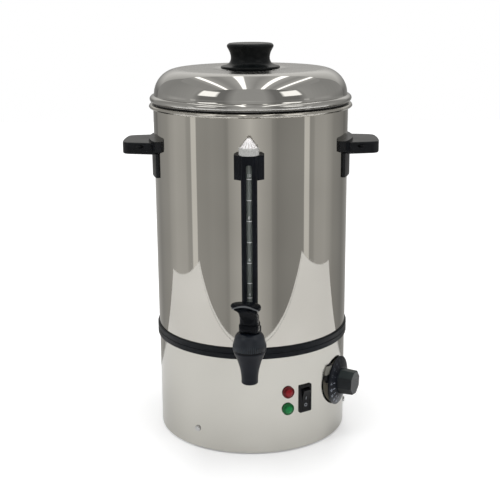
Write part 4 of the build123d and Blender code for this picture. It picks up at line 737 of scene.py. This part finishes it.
# %% [markdown]
# ## The lid
# The lid's sheet has a shallow dish in its crown, a wide rounded shoulder, a bead round its rim and a collar
# that reaches into the tank. The solid has these forms in a plainer shape. Its outside and its inside are
# drawn as one outline round the sheet's thickness, so the edge of the bead is right too. The piece stands
# for the CAD node.

# %% The lid's shell
SHOULDER = 0.0308                    # radius of the rounded shoulder
CROWN_Z, INNER_Z = 0.4584, 0.4574    # the crown's top, outside and inside
outside = [(0.0036, 0.4560), (0.0300, 0.4560)]
outside += smooth([(0.0330, 0.4560), (0.0400, 0.4572), (0.0470, 0.4582), (0.0560, CROWN_Z)])
outside += arc((0.1187 - SHOULDER, CROWN_Z - SHOULDER), (SHOULDER, SHOULDER), 90, 2, 40)
outside += arc((0.1189, 0.4228), (0.0052, 0.0044), 86, -55, 24)
inside = [(0.1210, 0.4192), (0.1210, 0.4169), (0.1184, 0.4169), (0.1184, 0.4044), (0.1174, 0.4044)]
inside += arc((0.1174 - SHOULDER, INNER_Z - SHOULDER), (SHOULDER, SHOULDER), 2, 90, 24)
inside += [(0.0560, INNER_Z), (0.0470, 0.4572), (0.0400, 0.4562), (0.0330, 0.4550), (0.0036, 0.4550)]
lid_shell = keep("lid_shell", turned("lid_shell", outside + inside), lid_steel, "lid")
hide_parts("lid")

# %% [markdown]
# ## The lid's knob
# The knob is a black moulding with a flange, a drawn-in waist for the fingertips and a softly rounded head.
# A cylinder with bevels would lose the waist, so the whole side is one smooth curve. A bore is left open
# below for the screw, and the washer between knob and lid follows the dish.

# %% The lid's knob and washer
knob = [(0.0, 0.4740), (0.0031, 0.4740), (0.0031, 0.4577), (0.0357, 0.4577)]  # the screw's bore
knob += [(0.0363, 0.4583), (0.0363, 0.4600), (0.0357, 0.4607)]                # the flange
knob += smooth([
    (0.0330, 0.4613), (0.0290, 0.4625), (0.0263, 0.4643), (0.0247, 0.4668), (0.0239, 0.4697),
    (0.0240, 0.4732), (0.0251, 0.4773), (0.0268, 0.4808), (0.0281, 0.4832), (0.0285, 0.4849),
    (0.0280, 0.4864), (0.0266, 0.4876), (0.0242, 0.4882), (0.0120, 0.4885), (0.0, 0.4886),
])
lid_grip = keep("lid_grip", turned("lid_grip", knob), knob_black, "lid")
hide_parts("lid_knob")

washer = [(0.0036, 0.4561), (0.0258, 0.4561), (0.0264, 0.4566), (0.0264, 0.4576), (0.0036, 0.4576)]
lid_seat = keep("lid_seat", turned("lid_seat", washer), satin_black, "lid")
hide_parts("lid_washer")

# %% [markdown]
# ## The tap's lever
# The lever has a slotted foot over the stem, a neck that curves forward, and an oval head with a thin lip and
# a scooped front. It could be carved from a block with subdivision, but its sections are simple to name: each
# is a rounded rectangle or an oval at some height. So one ring is extruded from section to section. A power
# squares its corners, as in a superellipse: 2 is an oval, 6 nearly a rectangle. Where a point of the ring
# would lie inside the ball that hollows the front, it is drawn back to the ball's surface.

# %% One section of the lever
FOOT_TOP = 0.0098  # the hollow begins over this height of the foot


def lever_loop(ring, around, height, ahead, across, deep, power):
    """Moves a ring to one section of the lever, less the hollow."""
    right = Vector((math.cos(LEVER_SWIVEL), -math.sin(LEVER_SWIVEL), 0))
    front = Vector((-math.sin(LEVER_SWIVEL), -math.cos(LEVER_SWIVEL), 0))
    for vert in ring:
        turn = math.cos(vert[around]), math.sin(vert[around])
        x, y = (math.copysign(abs(part) ** (2 / power), part) for part in turn)
        x, y = across * x, ahead + deep * y
        inside = HOLLOW_R**2 - (HOLLOW_WIDE * x) ** 2 - (height - HOLLOW_UP) ** 2
        if inside > 0 and height > FOOT_TOP:
            y = min(y, HOLLOW_OUT - math.sqrt(inside))
        vert.co = Vector((0, TAP_Y, LEVER_LOW + height)) + right * x + front * y


print("the hollow is part of a ball", HOLLOW_R * 2000, "mm across")

# %% [markdown]
# Each section is five numbers: its height over the foot, how far its middle lies ahead of the stem, half its
# width, half its depth, and the power of its corners. The first two make the pocket that takes the stem's
# eye, from its roof down to the foot's underside, and then the sections climb on the outside.

# %% The lever's sections
pocket = [(0.0082, 0, 0.0033, 0.0066, 6), (0.0, 0, 0.0033, 0.0066, 6)]
foot = [
    (0.0, 0, 0.0100, 0.0066, 5), (0.0006, 0, 0.0109, 0.0075, 5), (0.0018, 0, 0.0114, 0.0080, 5),
    (0.0086, 0, 0.0114, 0.0080, 5), (0.0095, 0, 0.0112, 0.0078, 5), (0.0099, 0, 0.0108, 0.0073, 5),
]
neck = smooth([
    (0.0100, 0.0000, 0.0107, 0.0067, 4.0), (0.0160, 0.0008, 0.0106, 0.0068, 3.4),
    (0.0220, 0.0034, 0.0109, 0.0072, 2.8), (0.0260, 0.0066, 0.0120, 0.0080, 2.4),
    (0.0288, 0.0100, 0.0140, 0.0090, 2.1), (0.0308, 0.0132, 0.0157, 0.0096, 2.0),
    (0.0328, 0.0157, 0.0168, 0.0099, 2.0), (0.0350, 0.0170, 0.0172, 0.0100, 2.0),
], 10)
crown = smooth([
    (0.0358, 0.0170, 0.0172, 0.0100, 2), (0.0371, 0.0170, 0.0168, 0.0097, 2),
    (0.0382, 0.0170, 0.0158, 0.0088, 2), (0.0390, 0.0170, 0.0140, 0.0074, 2),
    (0.0395, 0.0170, 0.0112, 0.0056, 2), (0.0396, 0.0170, 0.0070, 0.0034, 2),
])
sections = pocket + foot + neck + crown
print("the lever has", len(sections), "sections and is", round(sections[-1][0] * 1000, 1), "mm high")

# %% [markdown]
# A bridge between separate rings may pair their points wrongly and twist the skin. An extruded ring can't,
# because each new point hangs on its old one. The angle at which a point stands on the ring is kept in a
# layer of the mesh, and the extrusion copies it along, so every section finds its points again.

# %% Extrude the lever
built = bmesh.new()
around = built.verts.layers.float.new("around")
ring = bmesh.ops.create_circle(built, segments=168, radius=1.0)["verts"]
for vert in ring:
    vert[around] = math.atan2(vert.co.y, vert.co.x)
lever_loop(ring, around, *sections[0])
lines = built.edges[:]
bmesh.ops.edgeloop_fill(built, edges=lines)
for section in sections[1:]:
    drawn = bmesh.ops.extrude_edge_only(built, edges=lines)["geom"]
    ring = {item for item in drawn if isinstance(item, bmesh.types.BMVert)}
    lines = [item for item in drawn if isinstance(item, bmesh.types.BMEdge) and ring.issuperset(item.verts)]
    lever_loop(ring, around, *section)
bmesh.ops.edgeloop_fill(built, edges=lines)
lever_form = keep("lever_form", finished("lever_form", built), lever_black, "tap_lever")
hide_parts("tap_lever")

# %% [markdown]
# ## Printed marks
# Scales are printed on curved surfaces. An image wrapped round the piece could show them, but it needs a map
# of the surface and blurs close up. Thin sheets just over the surface stay sharp. Each mark is first made
# flat, in the XY plane, as a bar, a ring or a figure from Blender's own typeface. Text becomes a mesh at once,
# because only a mesh can be bent round a tube.

# %% Flat marks
def bar_shape(wide, high, columns, rows):
    """A flat bar, with enough rows or columns to bend."""
    part = bmesh.new()
    bmesh.ops.create_grid(part, x_segments=columns, y_segments=rows, size=0.5)
    bmesh.ops.scale(part, vec=(wide, high, 1), verts=part.verts)
    return part


def figure_shape(words, size):
    """Figures, centred on the origin."""
    curve = bpy.data.curves.new("figures", "FONT")
    curve.body = words
    curve.size = size
    curve.align_x = "CENTER"
    curve.align_y = "CENTER"
    curve.resolution_u = 3
    maker = bpy.data.objects.new("figures", curve)
    bpy.context.collection.objects.link(maker)
    bpy.context.view_layer.update()
    mesh = bpy.data.meshes.new_from_object(maker.evaluated_get(bpy.context.evaluated_depsgraph_get()))
    bpy.data.objects.remove(maker)
    part = bmesh.new()
    part.from_mesh(mesh)
    bpy.data.meshes.remove(mesh)
    return part


trial = figure_shape("8", 0.0050)
print("the figure 8 has", len(trial.verts), "points")
trial.free()

# %% [markdown]
# A function then moves the points of a flat mark on to the surface that carries it. All marks of one scale
# end up in one mesh, so a scale is one piece, as a print is.

# %% Marks on a surface
def print_on(target, part, wrap):
    """Moves a flat mark's points on to a surface, and adds it to the others."""
    for vert in part.verts:
        vert.co = wrap(vert.co)
    mesh = bpy.data.meshes.new("part")
    part.to_mesh(mesh)
    part.free()
    target.from_mesh(mesh)
    bpy.data.meshes.remove(mesh)


def keep_marks(name, target, ink, body):
    mesh = bpy.data.meshes.new(name)
    target.to_mesh(mesh)
    target.free()
    keep(name, mesh, ink, body)


print("figures and marks are printed on to a surface, one mesh for each scale")

# %% [markdown]
# ## The gauge's scale
# Seven short bars cross the glass at every litre from four to ten, and every second one has its figure over
# it. The glass is a tube, so the way across a mark becomes an angle round the tube, and the way up stays the
# height.

# %% The gauge's scale
TUBE_R = 0.005
INK = 0.00006  # how far the ink stands over the glass
LITRE_HEIGHTS = (0.2059, 0.2234, 0.2474, 0.2721, 0.2967, 0.3209, 0.3452)
FIGURE_HEIGHTS = (("10", 0.3493), ("8", 0.3008), ("6", 0.2516), ("4", 0.2098))


def on_tube(height):
    """Wraps a flat mark round the front of the gauge's glass."""
    def wrap(point):
        angle = point.x / TUBE_R
        reach = TUBE_R + INK
        return Vector((reach * math.sin(angle), GAUGE_Y - reach * math.cos(angle), height + point.y))
    return wrap


marks = bmesh.new()
for height in LITRE_HEIGHTS:
    print_on(marks, bar_shape(0.0060, 0.0010, 8, 1), on_tube(height))
for words, height in FIGURE_HEIGHTS:
    print_on(marks, figure_shape(words, 0.0050), on_tube(height))
keep_marks("gauge_marks", marks, mark_white, "urn")

# %% [markdown]
# ## The dial's scale
# Figures run round the dial in steps of five, from 30 at the lower left to 110 at the lower right, each
# with a tick under it. The dial is a shallow cone, so a mark is first turned in its own plane to face
# outward, and then each point is lifted by the cone's rise at its own radius.

# %% The dial's scale
DIAL_RISE = 0.0042                        # height of the dial's cone
CONE_OUTER, CONE_WIDTH = 0.0302, 0.0124   # its outer radius, and the way in to its top
FIGURE_R, TICK_R = 0.0262, 0.0214
FIRST, LAST, STEP = 30, 110, 5            # the figures
START, SWEEP = 250, 320                   # the first figure's direction, and the way round, in degrees
OVER_MOULDING = 0.00008                   # how far ink stands over plastic


def facing(angle):
    """Directions to the right and outward on an upright plane that faces away from the tank's axis."""
    right = Vector((math.cos(angle), math.sin(angle), 0))
    out = Vector((math.sin(angle), -math.cos(angle), 0))
    return right, out


def on_dial(radius, around):
    """Lays a flat mark on the dial's cone, upright towards the rim."""
    right, out = facing(DIAL_ANGLE)
    spin = Matrix.Rotation(around - math.pi / 2, 3, "Z")
    middle = Vector((radius * math.cos(around), radius * math.sin(around), 0))

    def wrap(point):
        flat = spin @ Vector((point.x, point.y, 0)) + middle
        climb = (CONE_OUTER - flat.length) / CONE_WIDTH
        reach = DIAL_RIM + DIAL_RISE * min(1.0, max(0.0, climb)) + OVER_MOULDING
        return out * reach + right * flat.x + Vector((0, 0, DIAL_Z + flat.y))
    return wrap


scale = bmesh.new()
figures = range(FIRST, LAST + 1, STEP)
for step, figure in enumerate(figures):
    around = math.radians(START - step * SWEEP / (len(figures) - 1))
    print_on(scale, figure_shape(str(figure), 0.0042), on_dial(FIGURE_R, around))
    print_on(scale, bar_shape(0.0007, 0.0030, 1, 4), on_dial(TICK_R, around))
keep_marks("dial_scale", scale, mark_dial, "thermostat_dial")

# %% [markdown]
# ## The switch's marks
# The rocker shows a stroke for on and a ring for off. A typeface would do, but these two are simpler as
# shapes: the stroke is a bar, and the ring is a short edge that is spun round its middle. The rocker's face is
# hollow and leans with the switch, so a point's way along it is also a way round the hollow's large circle.

# %% The switch's marks
SWITCH_ANGLE = math.radians(33.4)  # the switch's place round the tank, from the front
SWITCH_Z = 0.0663
ROCKER_PIVOT = 0.1177              # distance of its pivot from the tank's axis
ROCKER_FACE = 0.0046               # depth of its hollow face in front of the pivot
ROCKER_TILT = math.radians(9.0)
ROCKER_HALF = 0.013
RING_SIZE = (0.0015, 0.0020)       # the ring's radii


def on_rocker(up):
    """Lays a flat mark on the rocker's hollow face, at a distance along it from its middle."""
    right, out = facing(SWITCH_ANGLE)
    lift = Vector((0, 0, 1))
    face = out * math.cos(ROCKER_TILT) - lift * math.sin(ROCKER_TILT)
    along = lift * math.cos(ROCKER_TILT) + out * math.sin(ROCKER_TILT)
    sag = ROCKER_HALF * math.sin(ROCKER_TILT)
    bend = (ROCKER_HALF**2 + sag**2) / (2 * sag)

    def wrap(point):
        reach = up + point.y
        depth = ROCKER_FACE + bend - math.sqrt(bend**2 - reach**2) + OVER_MOULDING
        middle = out * ROCKER_PIVOT + lift * SWITCH_Z
        return middle + face * depth + along * reach + right * point.x
    return wrap


loop = bmesh.new()
ends = [loop.verts.new((radius, 0, 0)) for radius in RING_SIZE]
bmesh.ops.spin(
    loop, geom=[*ends, loop.edges.new(ends)], cent=(0, 0, 0), axis=(0, 0, 1),
    angle=2 * math.pi, steps=32, use_merge=True,
)
signs = bmesh.new()
print_on(signs, bar_shape(0.0007, 0.0034, 1, 6), on_rocker(0.0014))
print_on(signs, loop, on_rocker(-0.0076))
keep_marks("switch_figures", signs, mark_grey, "switch_rocker")

# %% [markdown]
# ## The studio's sheets
# A polished urn is mostly a picture of the room round it, so the room has to be there, but it isn't part of
# the object. A grid of one square, scaled and moved, makes each flat sheet.

# %% Stage pieces
def stage_piece(name, built, material):
    mesh = bpy.data.meshes.new(name)
    built.to_mesh(mesh)
    built.free()
    mesh.materials.append(material)
    piece = bpy.data.objects.new(name, mesh)
    bpy.context.collection.objects.link(piece)
    print(name, "stands in the studio")


def sheet(wide, deep, middle, upright=False):
    """A flat rectangle, lying or standing, round a middle."""
    built = bmesh.new()
    bmesh.ops.create_grid(built, x_segments=1, y_segments=1, size=0.5)
    bmesh.ops.scale(built, vec=(wide, deep, 1), verts=built.verts)
    if upright:
        stand = Matrix.Rotation(math.radians(90), 3, "X")
        bmesh.ops.rotate(built, cent=(0, 0, 0), matrix=stand, verts=built.verts)
    bmesh.ops.translate(built, vec=middle, verts=built.verts)
    return built


# %% [markdown]
# ## The table
# The urn stands on a white table. To the camera the floor is white without end, which an emission mixed over
# the paint gives, more of it far from the object, so that the soft shadow at its foot is kept. To a mirror
# the table has a size: past its edges a transparent shader lets the room be seen. Light Path's rays tell the
# two apart, and a Mix Shader's factor does the switching.

# %% The table's masks
TABLE_LEFT, TABLE_RIGHT, TABLE_BACK, TABLE_FRONT = -0.857, 0.922, 0.178, -0.521
SOFT_EDGE = 0.004


def glow_veil(along_x, along_y):
    """How much of its own light the table has: more away from the urn, and beside it."""
    away = (along_x * along_x + along_y * along_y).math("SQRT")
    veil = spread(away, 0.135, 0.32, 0.15, 0.5) + spread(along_x, 0.095, 0.13, 0, 0.15)
    return veil + spread(along_x, -0.13, -0.06, 0.2, 0)


def on_table(along_x, along_y, front):
    """One on the table that mirrors see, and nothing past its edges."""
    sides = spread(along_x, TABLE_LEFT, TABLE_LEFT + SOFT_EDGE, 0, 1)
    sides = sides * spread(along_x, TABLE_RIGHT - SOFT_EDGE, TABLE_RIGHT, 1, 0)
    depth = spread(along_y, TABLE_BACK, TABLE_BACK + SOFT_EDGE, 1, 0)
    return sides * depth * spread(front, TABLE_FRONT, TABLE_FRONT + SOFT_EDGE, 0, 1)


print("mirrors see a table", round(TABLE_RIGHT - TABLE_LEFT, 2), "m wide")

# %% [markdown]
# The table's front edge is in shade, which shows as a thin dark line low down in the steel; that line is
# painted shade, a dark emission for mirrors. The paint, the white glow, the painted shade and the clear part
# past the edges are four shaders. Three Mix Shader nodes, one after the other, choose between them.

# %% The table
FRONT_SLOPE = 0.0281                    # the front edge isn't quite square to the view
EDGE_SHADE_LOW, EDGE_SHADE_HIGH = -0.5020, -0.5005  # the painted shade along it


def table_top():
    shader = Shader("table_top")
    grain = noise(shader, 300, 2)
    along_x, along_y, _ = axes(shader)
    front = along_y + along_x * FRONT_SLOPE
    shader.set(
        Base_Color=blend(grain, rgb(250, 250, 250), rgb(246, 246, 246)),
        Roughness=0.9,
        Specular_IOR_Level=0.0,
    )
    surface = Value(shader, shader.bsdf.outputs[0])
    white = shader.node("Emission", inputs={"Color": (1, 1, 1, 1), "Strength": 1.45})
    dark = shader.node("Emission", inputs={"Color": (0.08, 0.075, 0.07, 1), "Strength": 1.0})
    clear = shader.node("BsdfTransparent")
    seen = shader.node("LightPath", out="Is Camera Ray")
    mirrored = shader.node("LightPath", out="Is Glossy Ray")
    # Painted shade: a thin dark line along the front edge, for mirrors only.
    edge_shade = band(front, EDGE_SHADE_LOW, EDGE_SHADE_HIGH, 0.0005)
    veil = seen * glow_veil(along_x, along_y)
    lit = shader.node("MixShader", inputs={0: veil, 1: surface, 2: white})
    edged = shader.node("MixShader", inputs={0: edge_shade * mirrored, 1: lit, 2: dark})
    past = mirrored * (1.0 - on_table(along_x, along_y, front))
    both = shader.node("MixShader", inputs={0: past, 1: edged, 2: clear})
    shader.plug(both, shader.output.inputs["Surface"])
    return shader.material


stage_piece("table", sheet(6, 6, (0, 0, 0)), table_top())

# %% [markdown]
# ## Walls that only mirrors see
# Steel needs dark and light bands to look like steel. Solid walls would give them, but they would also shade
# and tint the floor, and they would hide the white behind the urn. So each wall is an emission that shows only
# to glossy rays and is clear to all others. Its strength is one number, and the tone that changes over the
# wall goes into the colour.

# %% Wall shader
TOP_TONE = 2.5               # the brightest tone that a wall may have
GREY = (1.0, 0.985, 0.95, 1)
NONE = (0.0, 0.0, 0.0, 1)


def wall_shader(name, tone):
    """Seen by mirrors only: a warm grey of the given tone."""
    shader = Shader(name)
    glossy = shader.node("LightPath", out="Is Glossy Ray")
    clear = shader.node("BsdfTransparent")
    shade = blend(tone(shader) * (1 / TOP_TONE), NONE, GREY)
    grey = shader.node("Emission", inputs={"Color": shade, "Strength": TOP_TONE})
    both = shader.node("MixShader", inputs={0: glossy, 1: clear, 2: grey})
    shader.plug(both, shader.output.inputs["Surface"])
    return shader.material


print("a wall's tone goes from 0 to", TOP_TONE)

# %% [markdown]
# ## A curve from a table
# The tone changes many times on the way round the room. A colour ramp could hold it, but it has 32 stops at
# most and is hard to read in a script. Here each pair of neighbours in a table of points adds one Map Range,
# and their sum is a curve of straight lines.

# %% A curve of straight lines
def piecewise(value, points):
    """A curve made of straight lines through (value, result) points."""
    total = points[0][1]
    for (low, start), (high, end) in zip(points, points[1:]):
        if start != end:
            total = spread(value, low, high, 0, end - start) + total
    return total


print("neighbours with the same tone add no node")

# %% [markdown]
# ## The room
# The wall is an upright tube round the object, because a direction round the tank is what decides where a
# reflection lands on it. A flat wall would do for one side, but the tank mirrors all of the room. A table of
# directions and tones draws the bands that stand on the tank from left to right. Over the lid's level the room
# is plainer, with two bright windows that show in its shoulder.

# %% The room's tones
LOW_TONES = [  # direction from the front in degrees, and tone, for both sides
    (0, 0.72), (10, 0.58), (20, 0.48), (23.5, 0.44), (25, 0.37), (31, 0.30), (44, 0.33), (57, 0.35),
    (63.5, 0.36), (64.5, 0.78), (70.5, 0.78), (72, 0.38), (77, 0.40), (80, 0.49), (96, 0.51),
    (106, 0.43), (112, 0.35), (124, 0.31), (136, 0.25), (148, 0.31), (165, 0.42), (180, 0.42),
]
LEFT_TONES = [(-64, 0.06), (-50, 0.06), (-44, 0.08), (-31, 0.08), (-27, 0)]  # what the left side has more


def room_tone(shader):
    """Tone by direction round the object, below and above the level of the lid."""
    along_x, along_y, along_z = axes(shader)
    signed = along_x.math("ARCTAN2", along_y * -1.0) * (180 / math.pi)
    turn = signed.math("ABSOLUTE")
    low = piecewise(turn, LOW_TONES) + piecewise(signed, LEFT_TONES)
    gloom = spread(turn, 18, 30, 0, -0.22) * spread(turn, 58, 70, 1, 0)
    window = spread(turn, 38, 42, 0, 1.5) * spread(turn, 62, 65, 1, 0)
    window = window * spread(along_z, 1.2, 1.3, 0, 1) * spread(along_z, 2.2, 2.4, 1, 0)
    high = gloom + window + spread(turn, 70, 120, 0.46, 0.36)
    above = spread(along_z, 0.4, 0.7, 0, 1)
    return low * (1.0 - above) + high * above


room = bmesh.new()
bmesh.ops.create_cone(room, segments=96, radius1=2.4, radius2=2.4, depth=5.6)
bmesh.ops.translate(room, vec=(0, 0, 1.2), verts=room.verts)
stage_piece("room", room, wall_shader("room_wall", room_tone))

# %% [markdown]
# ## Ceiling and backdrop
# The lid's crown faces up, so it mirrors the ceiling: a grey one with four strip lamps and a dark edge at the
# back. A pale cloth behind the object, brighter towards its top and middle, closes the view that the steel
# has past the table's far edge.

# %% Ceiling and backdrop
STRIP_LAMPS = (-0.97, -0.20, 0.49, 1.20)  # the middles of the four lamps


def ceiling_tone(shader):
    along_x, along_y, _ = axes(shader)
    tone = spread(along_y, 1.66, 1.70, 0.42, 0.16)
    for middle in STRIP_LAMPS:
        away = (along_x - middle).math("ABSOLUTE")
        tone = tone + spread(away, 0.06, 0.085, 1.7, 0) + spread(away, 0.08, 0.34, 0.2, 0)
    return tone


def backdrop_tone(shader):
    along_x, _, along_z = axes(shader)
    across = along_x.math("ABSOLUTE")
    return spread(along_z, 0.5, 1.1, 0.30, 0.88) * spread(across, 0.3, 1.7, 1.0, 0.6)


stage_piece("ceiling", sheet(4.0, 3.12, (0, 0.16, 2.4)), wall_shader("ceiling", ceiling_tone))
cloth = sheet(4.4, 2.5, (0, 1.8, 1.25), upright=True)
stage_piece("backdrop", cloth, wall_shader("backdrop", backdrop_tone))

# %% [markdown]
# ## Light
# The world is plain white to the camera and through glass. As a light it is a softer white, so that the pale
# background doesn't wash the colours out. A stronger lamp in front of a white wall could do the same, but then
# pale surfaces would clip.

# %% The world
world = bpy.data.worlds.new("studio")
bpy.context.scene.world = world
world.use_nodes = True
sky = Shader("studio", world.node_tree)
seen = sky.node("LightPath", out="Is Camera Ray")
seen = seen.math("MAXIMUM", sky.node("LightPath", out="Is Transmission Ray"))
fill = sky.node("Background", inputs={"Color": (1, 1, 1, 1), "Strength": 0.62})
white = sky.node("Background", inputs={"Color": (1, 1, 1, 1), "Strength": 1.0})
both = sky.node("MixShader", inputs={0: seen, 1: fill, 2: white})
sky.plug(both, sky.output.inputs["Surface"])
print("the world has", len(world.node_tree.nodes), "nodes")

# %% [markdown]
# One large soft lamp over the table gives the form its shading, and a small one on each side opens the
# shadows. Point lamps would be simpler, but their shadows are hard, and an area lamp is what a softbox is in a
# real studio. The lamps are hidden from mirrors, which see the room instead.

# %% Soft lamps
AIM = Vector((0, 0, 0.25))  # the lamps look at the tank's middle


def soft_lamp(name, spot, size, power):
    data = bpy.data.lights.new(name, "AREA")
    data.shape = "RECTANGLE"
    data.size, data.size_y = size
    data.energy = power
    lamp = bpy.data.objects.new(name, data)
    lamp.location = spot
    lamp.rotation_euler = (AIM - Vector(spot)).to_track_quat("-Z", "Y").to_euler()
    lamp.visible_glossy = False
    bpy.context.collection.objects.link(lamp)
    print("lamp", name, "of", power, "W")


soft_lamp("over", (0, -0.2, 1.9), (1.6, 1.2), 15)
soft_lamp("left", (-1.5, -1.0, 1.1), (0.5, 1.2), 5)
soft_lamp("right", (1.5, -1.0, 1.1), (0.5, 1.2), 5)

# %% [markdown]
# ## Camera
# A long lens keeps the tank's sides nearly parallel, where a short one would make them lean. The camera stands
# in front of the tap, a little higher than the lid, and looks down by about fifteen degrees, so that the lid's
# crown is seen. The view transform is set to Standard, which shows a colour about as it is written.

# %% Camera
LENS = 73.09                                          # in millimetres, on a film 36 mm wide
CAMERA_AT = (0.02198, -1.25951, 0.5567)
PAN, DOWN, ROLL = math.radians(1.0) + 0.0016, math.radians(14.644), math.radians(-0.403)
camera_data = bpy.data.cameras.new("camera")
camera_data.lens = LENS
camera_data.sensor_width = 36.0
camera = bpy.data.objects.new("camera", camera_data)
aim = Matrix.Rotation(PAN, 4, "Z") @ Matrix.Rotation(math.radians(90) - DOWN, 4, "X")
camera.matrix_world = Matrix.Translation(CAMERA_AT) @ aim @ Matrix.Rotation(ROLL, 4, "Z")
bpy.context.collection.objects.link(camera)
bpy.context.scene.camera = camera
bpy.context.scene.view_settings.view_transform = "Standard"
print("the camera is", round(math.dist(CAMERA_AT, AIM), 2), "m from the tank's middle")

# %% [markdown]
# ## Finish

# %% Finish
print("the urn is dressed and its studio is built")
